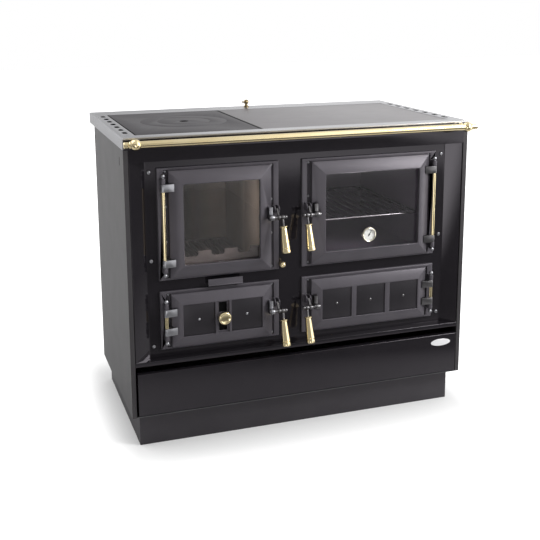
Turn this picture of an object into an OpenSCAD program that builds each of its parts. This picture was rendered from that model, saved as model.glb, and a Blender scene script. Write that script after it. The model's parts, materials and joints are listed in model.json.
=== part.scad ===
// Solid fuel range cooker: enamelled casing on a plinth, a stainless top frame round
// two hob plates, four bevelled cast doors on hinge pins, and a fuel drawer.
// X runs to the viewer's right, Y to the back, Z up. The origin is on the floor, at
// the middle of the whole cooker, handles and flue collar included.

/* [Doors] */
// Width of the two left doors, over their bevels
fire_door_w = 281; // [260:1:320]
// Width of the two right doors, over their bevels
oven_door_w = 356; // [320:1:400]
// Height of the two upper doors
upper_door_h = 289; // [260:1:320]
// Height of the two lower doors
lower_door_h = 148; // [130:1:180]
// Thickness of a door at its edge
door_edge_t = 10; // [8:0.5:11]
// Width of an upper door's bevelled border, lip included
upper_bevel = 36; // [30:1:44]
// Width of a lower door's bevelled border, lip included
lower_bevel = 30; // [26:1:34]
// How far an upper door's border rises from its edge to its lip
upper_rise = 15; // [10:1:18]
// How far a lower door's border rises from its edge to its lip
lower_rise = 10; // [7:1:14]
// Width of the flat lip round a door's middle
lip_w = 3; // [2:0.5:5]
// Corner radius of a window
window_r = 6; // [3:1:10]
// Thickness of the door glass
glass_t = 4; // [3:0.5:5]
// How far the glass reaches under the lip
glass_lap = 7; // [5:1:9]
// Thickness of the enamelled panels in the lower doors
panel_t = 3; // [2:0.5:4]
// Width of the bars between the right lower door's panels
store_bar = 15; // [10:1:20]
// Width of the bars beside the left lower door's middle cell
ash_bar = 7; // [5:1:10]
// Width of the left lower door's middle cell
ash_cell_w = 32; // [30:1:40]

/* [Door frames] */
// Thickness of a door frame
frame_t = 7; // [6:0.5:10]
// Frame showing above and below a door
frame_lap_z = 7; // [5:0.5:10]
// Frame from the hinge side edge of a door to its own edge
frame_hinge_side = 28; // [26:1:32]
// Frame from the latch side edge of a door to its own edge
frame_latch_side = 25; // [25:1:30]
// Width of the sunk channel beside a door
channel_w = 9.5; // [8:0.5:10]
// Depth of that channel
channel_depth = 5; // [3:0.5:5.5]
// How far a door covers the frame's opening all round
door_cover = 12; // [10:1:16]
// Free space between the left and the right door frames
frame_gap = 67; // [60:1:90]
// Free space between the upper and the lower door frames
row_gap = 30; // [26:1:40]
// Casing from the door frames to the cooker's sides
side_margin = 87.5; // [80:0.5:110]
// Space above the upper door frames
upper_gap = 21; // [15:1:30]
// Space below the lower door frames
lower_gap = 21; // [15:1:30]

/* [Casing] */
// Thickness of the casing sheet
sheet = 2; // [1.5:0.5:3]
// Depth of the casing, from the cooker's front plane to its back
casing_d = 487; // [470:1:540]
// How far the casing's front stands behind the top frame's front edge
casing_setback = 3; // [2:0.5:6]
// Width of the casing's front flange on each side
side_flange = 12; // [10:1:16]
// How far the front plate stands behind the top frame's front edge
plate_setback = 30; // [26:1:40]
// Thickness of the front plate
plate_t = 5; // [4:0.5:8]
// Height of the enamelled strip above the doors
fascia_h = 33; // [26:1:45]
// Height of the ledge below the doors
ledge_h = 12; // [10:1:18]
// Height of the plinth
plinth_h = 95; // [80:1:140]
// How far the plinth stands in from each side
plinth_side = 24; // [15:1:40]
// How far the plinth stands back from the front plane
plinth_front = 34; // [25:1:60]
// How far the plinth goes past the casing's back
plinth_back = 23; // [0:1:40]
// Thickness of the plinth's walls
plinth_wall = 3; // [2:0.5:5]
// Height of the slots in the casing's sides
side_slot_h = 23; // [12:1:30]
// Width of those slots
side_slot_w = 6; // [4:0.5:8]
// Middle of those slots, below the casing's top
side_slot_drop = 36; // [24:1:60]
// Middle of the front slot, from the casing's front
side_slot_front = 58; // [40:1:90]
// Middle of the rear slot, from the casing's back
side_slot_rear = 15; // [10:1:40]

/* [Top] */
// Depth of the top frame
top_d = 582; // [560:1:640]
// Height of the top frame's edge
top_edge = 31; // [24:1:40]
// Thickness of the top frame's steel
top_t = 4; // [3:0.5:5]
// Width of the top frame's front strip
strip_front = 45; // [40:1:60]
// Width of the top frame's rear strip
strip_rear = 85; // [70:1:100]
// Width of the top frame's side strips
strip_side = 39.5; // [36:0.5:50]
// Thickness of the hob plates
hob_t = 14; // [12:1:18]
// Width of the ledge that carries the hob plates
hob_seat = 10; // [8:1:14]
// Width of the left hob plate
hob_left_w = 344; // [320:1:400]
// Gap round a hob plate
hob_gap = 1; // [0.5:0.5:2]
// Middle of the ring, from the left hob plate's left edge
ring_x = 186; // [160:1:190]
// Middle of the ring, from the hob plates' front edge
ring_y = 236; // [200:1:260]
// Radius of the ring
ring_r = 123; // [100:1:130]
// Radius of the lid in the ring
lid_r = 75; // [60:1:85]
// Width of the step that carries the ring and the lid
ring_step = 6; // [4:1:8]
// Radius of the lid's lifting hole
lifter_r = 13; // [10:1:16]
// Air slots on each side
slot_count = 7; // [3:1:7]
// Distance from one air slot to the next
slot_pitch = 59.7; // [50:0.1:60]
// Length of an air slot
slot_len = 30; // [20:1:40]
// Width of an air slot
slot_w = 13; // [8:1:14]
// Middle of the air slots, from the top frame's side
slot_in = 22.6; // [20:0.1:26]
// Middle of the first air slot, from the front
slot_first = 98; // [80:1:110]

/* [Rail] */
// Diameter of the brass rail
rail_dia = 18; // [14:1:22]
// Thickness of the rail tube's wall
rail_wall = 1.5; // [1:0.5:3]
// Middle of the rail, in front of the front plane
rail_out = 38; // [32:1:50]
// Middle of the rail, below the top
rail_drop = 12; // [11:1:14]
// Diameter of the balls that hold the rail
rail_ball = 28; // [26:1:34]
// Middle of those balls, from the cooker's side
rail_ball_in = 26; // [20:1:60]
// Length of a rail end cap outside its ball
rail_cap = 17; // [10:1:22]

/* [Hinges] */
// Diameter of a hinge pin
pin_dia = 7; // [5:0.5:8]
// Hinge axis to the near edge of the door
hinge_to_door = 15; // [14:1:18]
// Hinge axis behind the front plane
hinge_y = 7; // [5:0.5:9]
// Diameter of the hinge eyes
eye_dia = 13; // [12:0.5:15]
// Height of a hinge strap
strap_h = 20; // [16:1:24]
// Length of a hinge strap, from the axis
strap_len = 29; // [26:1:36]
// Middle of the upper doors' straps, from mid door
upper_strap = 101; // [80:1:105]
// Middle of the lower doors' straps, from mid door
lower_strap = 26; // [22:1:30]
// Height of a frame knuckle
knuckle_h = 15; // [10:1:18]
// Diameter of a hinge pin's ball ends
finial_dia = 12; // [10:1:14]
// Outer diameter of the brass sleeve on a hinge pin
sleeve_dia = 10; // [9:0.5:12]

/* [Latches] */
// Diameter of a latch spindle
spindle_dia = 8; // [6:0.5:9]
// Latch spindle in front of the front plane
spindle_out = 14; // [12:1:18]
// Latch spindle above mid door
spindle_up = 4; // [0:1:8]
// Slope of a handle at rest
handle_lean = 18; // [10:1:25]
// Length of the bare rod above a grip
rod_len = 25; // [18:1:35]
// Diameter of that rod
rod_dia = 6; // [4:0.5:7]
// Length of a brass grip
grip_len = 73; // [60:1:90]
// Diameter of a grip at its lower end
grip_dia = 25; // [20:1:28]
// Diameter of a grip below its collar
grip_neck = 16.5; // [14:0.5:19]
// Diameter of a grip's collar
grip_collar = 22; // [20:0.5:24]
// Groove round a grip, above its lower end
grip_groove = 13; // [9:1:30]
// Length of the latch finger
finger_len = 26; // [22:1:27]
// Thickness of the latch finger
finger_t = 5; // [4:0.5:6]

/* [Controls] */
// Diameter of the round brass air knob
air_knob_dia = 36; // [28:1:40]
// Diameter of the small brass pull knob
pull_knob_dia = 18; // [14:1:20]
// Diameter of the oven thermometer
thermo_dia = 42; // [36:1:50]
// Thermometer from the right doors' hinge axis
thermo_x = 201; // [150:1:260]
// Thermometer below mid door
thermo_drop = 72; // [0:1:75]
// Width of the air slider's lip
slider_w = 96; // [80:1:120]
// Thickness of the air slider
slider_t = 3; // [2:0.5:4]
// Shoulder of the air slider beside its neck
slider_step = 12; // [8:1:16]
// How far the air slider reaches behind the front plate
slider_reach = 210; // [120:5:260]
// How far the pull knob's rod reaches behind the front plate
pull_reach = 60; // [40:5:90]
// Pull knob above the fire frame's lower edge
pull_up = 15; // [12:1:20]

/* [Inside] */
// Thickness of the cast firebox walls
cast_t = 4; // [3:0.5:6]
// Thickness of the fire bricks
brick_t = 25; // [20:1:32]
// Gap between two fire bricks
brick_gap = 0.5; // [0.3:0.1:1]
// Thickness of the grate
grate_t = 12; // [8:1:16]
// Slots in the grate
grate_slots = 9; // [5:1:9]
// Height of the log guard
guard_h = 78; // [60:1:95]
// Space behind the firebox and the oven
inner_gap = 30; // [25:1:60]
// Firebox wider than the fire door on each side
shell_side = 20; // [16:1:25]
// Oven's walls inside the edges of its door
oven_inset = 10; // [8:1:12]
// Firebox's shelf above the lower door frames
grate_up = 18; // [14:1:24]
// Fire bricks below the firebox's top
brick_drop = 20; // [10:1:40]
// Space behind the ash pan
ash_pan_rear = 60; // [20:5:90]
// Store box shorter than the oven
store_less = 40; // [0:5:80]
// Height of the ash pan
ash_pan_h = 62; // [45:1:75]
// Thickness of a wire of the oven shelf
wire_dia = 5; // [4:0.5:6]
// Cross wires of the oven shelf
shelf_wires = 11; // [7:1:15]
// Oven shelf above the oven's floor
shelf_up = 105; // [70:1:150]
// Depth of the notches in the log guard
guard_notch = 15; // [8:1:20]
// Width of the ash pan's handle
pan_grip_w = 80; // [60:1:110]
// How far the ash pan's handle stands out
pan_grip_out = 10; // [9:0.5:11]
// Thickness of the ash pan's handle
pan_grip_t = 4; // [3:0.5:5]
// Ash pan's handle above the pan's floor
pan_grip_up = 35; // [28:1:45]

/* [Drawer] */
// Height of the drawer's front
drawer_h = 117; // [100:1:150]
// Gap under the drawer's front
drawer_gap = 6; // [5:1:12]
// Finger gap above the drawer's front
finger_gap = 19; // [16:1:28]
// Drawer front in from each side
drawer_side = 17; // [15:1:24]
// Drawer's tray inside the end of its front
tray_inset = 20; // [18:1:30]
// How far the drawer's front stands in front of the front plane
drawer_out = 2.5; // [1:0.5:6]
// Depth of the drawer's front
drawer_front_t = 17; // [14:1:20]
// Space behind the drawer's tray
drawer_rear = 30.5; // [20:0.5:60]
// Height of the drawer's tray
tray_h = 100; // [80:1:110]

/* [Flue] */
// Outer diameter of the flue collar
flue_dia = 150; // [120:1:160]
// Wall of the flue collar
flue_wall = 3; // [2:0.5:5]
// Height of the flue's middle
flue_z = 700; // [640:1:710]
// Length of the flue collar's free end
flue_end = 50; // [40:1:80]
// Flue and damper off the middle of the cooker
flue_x = 5; // [-60:1:60]
// Damper spindle from the front plane
damper_y = 552; // [545:1:560]
// Width of the damper flap
damper_w = 116; // [90:1:118]

/* [Clearances] */
// Radial clearance of a pin in its hole
fit = 0.05; // [0.03:0.01:0.09]
// Gap between pieces that move past each other
gap = 0.4; // [0.3:0.05:0.6]

/* [Hidden] */
$fn = 48;
cut = 1;

// Doors and frames, across and up
left_frame_w = fire_door_w + frame_hinge_side + frame_latch_side;
right_frame_w = oven_door_w + frame_hinge_side + frame_latch_side;
body_w = left_frame_w + right_frame_w + frame_gap + 2 * side_margin;
half_w = body_w / 2;
hinge_x = half_w - side_margin - frame_hinge_side + hinge_to_door;
upper_frame_h = upper_door_h + 2 * frame_lap_z;
lower_frame_h = lower_door_h + 2 * frame_lap_z;
drawer_z = plinth_h + drawer_gap;
ledge_z = drawer_z + drawer_h + finger_gap;
recess_z = ledge_z + ledge_h;
lower_z = recess_z + lower_gap + lower_frame_h / 2;
strip_z = recess_z + lower_gap + lower_frame_h;
upper_z = strip_z + row_gap + upper_frame_h / 2;
fascia_z = strip_z + row_gap + upper_frame_h + upper_gap;
casing_z = fascia_z + fascia_h;
body_h = casing_z + top_edge;

// Reach of the handles and the collar, which sets where the origin lies
grip_end = rod_len + grip_len;
front_reach = spindle_out + grip_end * sin(handle_lean) + grip_dia / 2 * cos(handle_lean) - 1;
collar_neck_y = damper_y + 13;
back_reach = collar_neck_y + flue_end;
fy = (front_reach - back_reach) / 2;

// Planes from front to back
casing_y = fy + casing_setback;
back_y = fy + casing_d;
plate_y = fy + plate_setback;
inner_y = plate_y + plate_t;
frame_y = plate_y - frame_t;
door_back = frame_y - gap;
door_edge = frame_y - door_edge_t;
axis_y = fy + hinge_y;
spindle_y = fy - spindle_out;

// Hob plates
seat_z = body_h - hob_t;
hob_y0 = fy + strip_front;
hob_y1 = fy + top_d - strip_rear;
hob_x0 = -half_w + strip_side;
hob_x1 = half_w - strip_side;
joint_x = hob_x0 + hob_left_w;
ring_cx = hob_x0 + ring_x;
ring_cy = hob_y0 + ring_y;
ring_t = hob_t / 2;
skirt_in = 0.5;

// Hinge, latch and rim sizes
pin_r = pin_dia / 2;
eye_r = eye_dia / 2;
spindle_r = spindle_dia / 2;
hub_r = spindle_r + 2.5;
bearing_t = 10;
bearing_in = 2;
fork_mid = 12.5;
fork_slot = finger_t + 3;
prong_t = 3.5;
fork_h = 22;
keeper_t = 3;
rod_at = 23;
knob_end = 31.5;
finger_tilt = 40;
rim_inset = door_cover + 2.5;
rim_t = 6;
rim_depth = 5;
door_end = door_back + rim_depth + cut;
web_t = 5;
screw_r = 3.6;
plate_screw_r = 5.5;
panel_screw_r = 2;

// Middle of each inner space, across
fire_cx = -hinge_x + hinge_to_door + fire_door_w / 2;
oven_cx = hinge_x - hinge_to_door - oven_door_w / 2;
inner_d = back_y - sheet - inner_gap - inner_y;
shell_w = fire_door_w + 2 * shell_side;
oven_w = oven_door_w - 2 * oven_inset;
shell_z = lower_z - lower_frame_h / 2 - 8;
grate_z = strip_z + grate_up;
shell_top = fascia_z + 14;
brick_h = shell_top - grate_z - brick_drop;

// Drawer tray and runners
tray_half = half_w - drawer_side - tray_inset;
runner_t = 2;
runner_foot = 26;
runner_h = 6;
tray_z = plinth_h + sheet + runner_h + gap;
tray_y = fy - drawer_out + drawer_front_t;
drawer_len = back_y - sheet - drawer_rear - tray_y;

// Air slider, pull knob and air valve
slider_z = strip_z + 5;
slider_neck = slider_w - 2 * slider_step;
slider_cx = fire_cx + 10;
pull_x = -half_w + side_margin + left_frame_w + 7;
pull_z = upper_z - upper_frame_h / 2 + pull_up;
pull_rod_r = 3;
ash_cell_x = hinge_to_door + fire_door_w / 2;
valve_r = 4;

// Flue
flue_r = flue_dia / 2;
flue_bore = flue_r - flue_wall;
damper_r = 4;

// A block between two corners
module span(x0, x1, y0, y1, z0, z1) {
    translate([x0, y0, z0]) cube([x1 - x0, y1 - y0, z1 - z0]);
}

// A flat drawing in X and Z, given the thickness t behind y0
module slab(y0, t) {
    translate([0, y0 + t, 0]) rotate([90, 0, 0]) linear_extrude(t) children();
}

// A drawing in Y and Z, run along X from x0
module run_x(x0, len) {
    translate([x0, 0, 0]) rotate([90, 0, 90]) linear_extrude(len) children();
}

// A rod along Y from y0
module rod_y(x, y0, z, len, r) {
    translate([x, y0 + len, z]) rotate([90, 0, 0]) cylinder(h = len, r = r);
}

// A rod along X from x0
module rod_x(x0, y, z, len, r) {
    translate([x0, y, z]) rotate([0, 90, 0]) cylinder(h = len, r = r);
}

// A turned piece whose profile's second value points to the front
module turned_y(x, y, z) {
    translate([x, y, z]) rotate([90, 0, 0]) rotate_extrude() children();
}

module rounded(w, h, r) {
    square([w - 2 * r, h], center = true);
    square([w, h - 2 * r], center = true);
    for (sx = [-1, 1], sz = [-1, 1]) {
        translate([sx * (w / 2 - r), sz * (h / 2 - r)]) circle(r);
    }
}

// A domed screw head that sits on the plane y
module dome_screw(x, y, z, r) {
    dome_h = r * 0.65;
    ball_r = (r * r + dome_h * dome_h) / (2 * dome_h);
    turned_y(x, y, z) intersection() {
        translate([0, dome_h - ball_r]) circle(ball_r);
        square([r, dome_h]);
    }
}

// A rectangle with sloping borders on all four sides, mitred at the corners
module bevelled_block(w, h, slope_w, face, edge, back) {
    intersection() {
        translate([0, 0, -h / 2]) linear_extrude(h) polygon([[0, back], [0, edge],
            [slope_w, face], [w - slope_w, face], [w, edge], [w, back]]);
        run_x(0, w) polygon([[back, -h / 2], [edge, -h / 2], [face, slope_w - h / 2],
            [face, h / 2 - slope_w], [edge, h / 2], [back, h / 2]]);
    }
}

// Puts a door's pieces at its hinge axis; the right doors are the left ones mirrored
module at_door(side, z) {
    translate([side * hinge_x, 0, z]) mirror([side > 0 ? 1 : 0, 0, 0]) children();
}

module fire_row() { at_door(-1, upper_z) children(); }
module oven_row() { at_door(1, upper_z) children(); }
module ash_row() { at_door(-1, lower_z) children(); }
module store_row() { at_door(1, lower_z) children(); }

// From here to the door pieces, X starts at the hinge axis and runs to the latch
module door_middle(w) {
    translate([hinge_to_door + w / 2, 0, 0]) children();
}

module frame_opening(w, h, grow) {
    rounded(w - 2 * door_cover + 2 * grow, h - 2 * door_cover + 2 * grow, 8);
}

module strap(z, strap_bore) {
    translate([0, 0, z - strap_h / 2]) linear_extrude(strap_h) difference() {
        union() {
            translate([0, axis_y]) circle(eye_r);
            polygon([[0, axis_y - eye_r], [hinge_to_door - 2, axis_y - eye_r + 1],
                [strap_len, axis_y - 3], [strap_len, door_edge], [0, axis_y + eye_r]]);
        }
        translate([0, axis_y]) circle(strap_bore);
    }
}

module straps(strap_at) {
    for (z = [-strap_at, strap_at]) strap(z, pin_r + fit);
}

module latch_bearing(latch_edge, bore) {
    run_x(latch_edge - bearing_in - bearing_t, bearing_t) difference() {
        union() {
            translate([spindle_y, spindle_up]) circle(spindle_r + 4);
            translate([spindle_y, spindle_up - spindle_r - 4])
                square([door_edge - 1 - spindle_y, 2 * spindle_r + 8]);
            translate([spindle_y + 8, spindle_up])
                square([door_edge - 9 - spindle_y, fork_h + 5]);
        }
        translate([spindle_y, spindle_up]) circle(bore);
    }
}

module door_frame(w, h, strap_at) {
    latch_edge = hinge_to_door + w;
    frame_w = w + frame_hinge_side + frame_latch_side;
    knuckle_z = strap_at + strap_h / 2 + gap;
    difference() {
        translate([hinge_to_door - frame_hinge_side, 0, 0])
            bevelled_block(frame_w, h + 2 * frame_lap_z, 1.5, frame_y, frame_y + 1.5, plate_y);
        door_middle(w) slab(frame_y - cut, frame_t + 2 * cut) frame_opening(w, h, 0);
        for (x = [hinge_to_door - channel_w, latch_edge]) {
            span(x, x + channel_w, frame_y - cut, frame_y + channel_depth, -h / 2, h / 2);
        }
    }
    for (side = [-1, 1]) {
        low = side > 0 ? knuckle_z : -knuckle_z - knuckle_h;
        translate([0, 0, low]) linear_extrude(knuckle_h) difference() {
            union() {
                translate([0, axis_y]) circle(eye_r);
                translate([2 - eye_r, axis_y]) square([2 * eye_r - 4, frame_y - axis_y]);
            }
            translate([0, axis_y]) circle(pin_r + fit);
        }
    }
    keeper(latch_edge);
}

// The forked keeper, riveted to the frame beside the door
module keeper(latch_edge) {
    fork_x = latch_edge + fork_mid;
    span(latch_edge + 2, latch_edge + frame_latch_side - 1, frame_y - keeper_t, frame_y,
        spindle_up - 12, spindle_up + fork_h + 6);
    for (x = [fork_x - fork_slot / 2 - prong_t, fork_x + fork_slot / 2]) {
        run_x(x, prong_t) polygon([[frame_y - keeper_t, spindle_up + 6],
            [fy, spindle_up + 9], [fy - 2, spindle_up + fork_h],
            [fy + 4, spindle_up + fork_h + 6], [frame_y - keeper_t, spindle_up + fork_h + 6]]);
    }
}

// Screws in the channels, at the given heights
module frame_screws(w, heights) {
    for (x = [hinge_to_door - channel_w / 2, hinge_to_door + w + channel_w / 2], z = heights) {
        dome_screw(x, frame_y + channel_depth, z, screw_r);
    }
}

module hinge_pin(strap_at) {
    end = strap_at + strap_h / 2 + gap + knuckle_h + gap + finial_dia / 2;
    translate([0, axis_y, -end]) cylinder(h = 2 * end, r = pin_r);
    for (z = [-end, end]) translate([0, axis_y, z]) sphere(finial_dia / 2);
}

module hinge_sleeve(strap_at) {
    half = strap_at - strap_h / 2 - gap;
    translate([0, axis_y, -half]) difference() {
        cylinder(h = 2 * half, r = sleeve_dia / 2);
        translate([0, 0, -cut]) cylinder(h = 2 * half + 2 * cut, r = pin_r + fit);
    }
}

// The bevelled border shared by all four doors, with its rim and its pockets
module door_casting(w, h, bevel, rise, strap_at) {
    latch_edge = hinge_to_door + w;
    face = door_edge - rise;
    difference() {
        union() {
            translate([hinge_to_door, 0, 0])
                bevelled_block(w, h, bevel - lip_w, face, door_edge, door_back);
            door_middle(w) slab(door_back, rim_depth) difference() {
                rounded(w - 2 * rim_inset, h - 2 * rim_inset, 7);
                rounded(w - 2 * rim_inset - 2 * rim_t, h - 2 * rim_inset - 2 * rim_t, 3);
            }
        }
        for (z = [-strap_at, strap_at]) strap(z, 0);
        latch_bearing(latch_edge, 0);
        children();
    }
}

module glazed_door(w, h) {
    face = door_edge - upper_rise;
    glass_y = door_edge - 4;
    window_w = w - 2 * upper_bevel;
    window_h = h - 2 * upper_bevel;
    door_casting(w, h, upper_bevel, upper_rise, upper_strap) {
        door_middle(w) slab(face - cut, upper_rise + 20) rounded(window_w, window_h, window_r);
        door_middle(w) slab(glass_y, door_end - glass_y)
            rounded(window_w + 2 * glass_lap, window_h + 2 * glass_lap, window_r);
    }
}

module door_glass(w, h) {
    lap = 2 * glass_lap - 2 * gap;
    door_middle(w) slab(door_edge - 4, glass_t)
        rounded(w - 2 * upper_bevel + lap, h - 2 * upper_bevel + lap, window_r);
}

// Middles of the enamelled panels, from mid door, and their width
function panel_places(count, w, bar) =
    [for (i = [0:count - 1]) (i - (count - 1) / 2) * ((w - (count - 1) * bar) / count + bar)];
store_inner = oven_door_w - 2 * lower_bevel;
ash_inner = fire_door_w - 2 * lower_bevel;
store_panel_w = (store_inner - 2 * store_bar) / 3;
ash_panel_w = (ash_inner - ash_cell_w - 2 * ash_bar) / 2;
panel_h = lower_door_h - 2 * lower_bevel;
store_places = panel_places(3, store_inner, store_bar);
ash_places = [-1, 1] * (ash_cell_w + 2 * ash_bar + ash_panel_w) / 2;
web_y = door_edge - 4;
panel_y = web_y - panel_t;

module panelled_door(w, places, place_w) {
    face = door_edge - lower_rise;
    door_casting(w, lower_door_h, lower_bevel, lower_rise, lower_strap) {
        door_middle(w) for (x = places) translate([x, 0, 0])
            slab(face - cut, web_y - face + cut) square([place_w, panel_h], center = true);
        door_middle(w) slab(web_y + web_t, door_end - web_y - web_t)
            square([w - 2 * lower_bevel, panel_h], center = true);
        door_middle(w) for (x = places)
            rod_y(x, face, 0, web_y + web_t + cut - face, panel_screw_r + fit);
        children();
    }
}

module door_panels(w, places, place_w) {
    door_middle(w) for (x = places) difference() {
        translate([x, 0, 0]) slab(panel_y, panel_t)
            square([place_w - 2 * gap, panel_h - 2 * gap], center = true);
        rod_y(x, panel_y - cut, 0, panel_t + 2 * cut, panel_screw_r + fit);
    }
}

module panel_screws(w, places) {
    door_middle(w) for (x = places) {
        dome_screw(x, panel_y, 0, 2 * panel_screw_r);
        rod_y(x, panel_y, 0, panel_t + web_t, panel_screw_r);
    }
}

module latch_lever(w) {
    latch_edge = hinge_to_door + w;
    bearing_x = latch_edge - bearing_in - bearing_t;
    finger_x = latch_edge + fork_mid - finger_t / 2;
    rod_x0 = latch_edge + rod_at;
    end_x = latch_edge + knob_end;
    translate([0, spindle_y, spindle_up]) {
        rod_x(bearing_x - gap, 0, 0, end_x - bearing_x + gap, spindle_r - fit);
        rod_x(bearing_x - gap - 3, 0, 0, 3, hub_r);
        rod_x(bearing_x + bearing_t + gap, 0, 0, 2.5, hub_r);
        rod_x(finger_x - 0.5, 0, 0, finger_t + 1, hub_r);
        rod_x(rod_x0 - 4, 0, 0, 8, hub_r);
        rotate([-finger_tilt, 0, 0]) span(finger_x, finger_x + finger_t, -3, 3, 0, finger_len);
        rotate([-handle_lean, 0, 0])
            translate([rod_x0, 0, -rod_len - 6]) cylinder(h = rod_len + 6, r = rod_dia / 2);
        translate([end_x, 0, 0]) sphere(spindle_r + 1.5);
    }
}

module grip(w) {
    collar_r = grip_collar / 2;
    groove_r = grip_dia / 2 - (grip_dia - grip_neck) / 2 * (grip_groove - 6) / (grip_len - 11);
    end_r = grip_dia / 2;
    translate([hinge_to_door + w + rod_at, spindle_y, spindle_up]) rotate([-handle_lean, 0, 0])
        difference() {
            rotate_extrude() polygon([[0, -rod_len], [collar_r - 1, -rod_len],
                [collar_r, -rod_len - 0.8], [collar_r, -rod_len - 2.2],
                [collar_r - 1, -rod_len - 3], [grip_neck / 2, -rod_len - 5],
                [groove_r, -grip_end + grip_groove + 1], [groove_r - 0.8, -grip_end + grip_groove],
                [groove_r, -grip_end + grip_groove - 1], [end_r, -grip_end + 6],
                [end_r - 0.4, -grip_end + 2.5], [end_r - 2, -grip_end + 0.7], [0, -grip_end]]);
            translate([0, 0, -rod_len - 6]) cylinder(h = 6 + cut, r = rod_dia / 2);
        }
}

// Stepped disc of the hob: the upper half is wider by the step that carries it
module stepped_disc(r, top, slack) {
    translate([ring_cx, ring_cy, seat_z + slack]) cylinder(h = ring_t, r = r - ring_step - slack);
    translate([ring_cx, ring_cy, seat_z + ring_t + slack])
        cylinder(h = top - seat_z - ring_t - slack, r = r - slack);
}

module plinth() {
    x = half_w - plinth_side;
    y0 = fy + plinth_front;
    y1 = back_y + plinth_back;
    flange = plinth_wall + 18;
    color([0.06, 0.06, 0.065]) {
        difference() {
            span(-x, x, y0, y1, 0, plinth_h);
            span(-x + plinth_wall, x - plinth_wall, y0 + plinth_wall, y1 - plinth_wall,
                plinth_wall, plinth_h + cut);
            span(-x + flange, x - flange, y0 + flange, y1 - flange, -cut, plinth_wall + cut);
        }
        span(-x, x, back_y - flange, y1, plinth_h - plinth_wall, plinth_h);
    }
}

// Floor of the casing, notched for the folds of the sides
module base_plate() {
    x = half_w - sheet;
    inner = half_w - side_flange;
    color([0.1, 0.1, 0.11]) {
        span(-x, x, plate_y, back_y, plinth_h, plinth_h + sheet);
        span(-inner, inner, casing_y, plate_y, plinth_h, plinth_h + sheet);
    }
}

// Casing side, folded at its front into a flange and a return to the front plate
module side_panel(side) {
    x = half_w;
    inner = x - side_flange;
    mirror([side < 0 ? 1 : 0, 0, 0]) difference() {
        translate([0, 0, plinth_h])
            linear_extrude(casing_z - plinth_h) polygon([[x, casing_y], [x, back_y],
                [x - sheet, back_y], [x - sheet, casing_y + sheet],
                [inner + sheet, casing_y + sheet], [inner + sheet, plate_y],
                [inner, plate_y], [inner, casing_y]]);
        for (y = [casing_y + side_slot_front, back_y - side_slot_rear]) {
            run_x(x - sheet - cut, sheet + 2 * cut) translate([y, casing_z - side_slot_drop])
                rounded(side_slot_w, side_slot_h, side_slot_w / 2 - 0.5);
        }
    }
}

module side_panel_left() { color([0.09, 0.09, 0.1]) side_panel(-1); }
module side_panel_right() { color([0.09, 0.09, 0.1]) side_panel(1); }

module back_panel() {
    x = half_w - sheet;
    color([0.1, 0.1, 0.11]) difference() {
        span(-x, x, back_y - sheet, back_y, plinth_h + sheet, casing_z);
        rod_y(flue_x, back_y - sheet - cut, flue_z, sheet + 2 * cut, flue_bore);
    }
}

module top_frame() {
    wall = top_t - 1;
    z0 = casing_z;
    seat0 = seat_z - 4;
    color([0.74, 0.74, 0.76]) difference() {
        union() {
            span(-half_w, half_w, fy, fy + top_d, body_h - top_t, body_h);
            for (side = [-1, 1]) {
                x0 = side > 0 ? half_w - wall : -half_w;
                span(x0, x0 + wall, fy + 8, fy + top_d, z0, body_h - top_t);
            }
            span(-half_w, half_w, fy + top_d - wall, fy + top_d, z0, body_h - top_t);
            span(hob_x0 - wall, hob_x1 + wall, hob_y0 - wall, hob_y1 + wall, seat0, body_h - top_t);
        }
        span(hob_x0, hob_x1, hob_y0, hob_y1, seat_z, body_h + cut);
        span(hob_x0 + hob_seat, joint_x - 15, hob_y0 + hob_seat, hob_y1 - hob_seat,
            seat0 - cut, seat_z + cut);
        span(joint_x + 15, hob_x1 - hob_seat, hob_y0 + hob_seat, hob_y1 - hob_seat,
            seat0 - cut, seat_z + cut);
        for (side = [-1, 1], i = [0:slot_count - 1]) {
            translate([side * (half_w - slot_in), fy + slot_first + i * slot_pitch, z0])
                linear_extrude(top_edge + cut) rounded(slot_w, slot_len, slot_w / 2 - 0.5);
        }
        translate([flue_x, fy + damper_y, z0]) cylinder(h = top_edge + cut, r = damper_r + fit);
    }
}

// The black strip under the top frame's front edge and the folded strip over the doors
module top_fascia() {
    inner = half_w - side_flange;
    color([0.05, 0.05, 0.055]) {
        span(-half_w + skirt_in, half_w - skirt_in, fy + skirt_in, fy + 6,
            casing_z, body_h - top_t);
        span(-inner, inner, casing_y, casing_y + sheet, fascia_z, casing_z);
        span(-inner, inner, casing_y, plate_y, fascia_z, fascia_z + sheet);
    }
}

module lower_ledge() {
    inner = half_w - side_flange;
    color([0.05, 0.05, 0.055]) {
        span(-inner, inner, casing_y, casing_y + sheet, ledge_z, recess_z);
        span(-inner, inner, casing_y, plate_y, recess_z - sheet, recess_z);
        span(-inner, inner, plate_y - sheet, plate_y, ledge_z, recess_z);
    }
}

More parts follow.
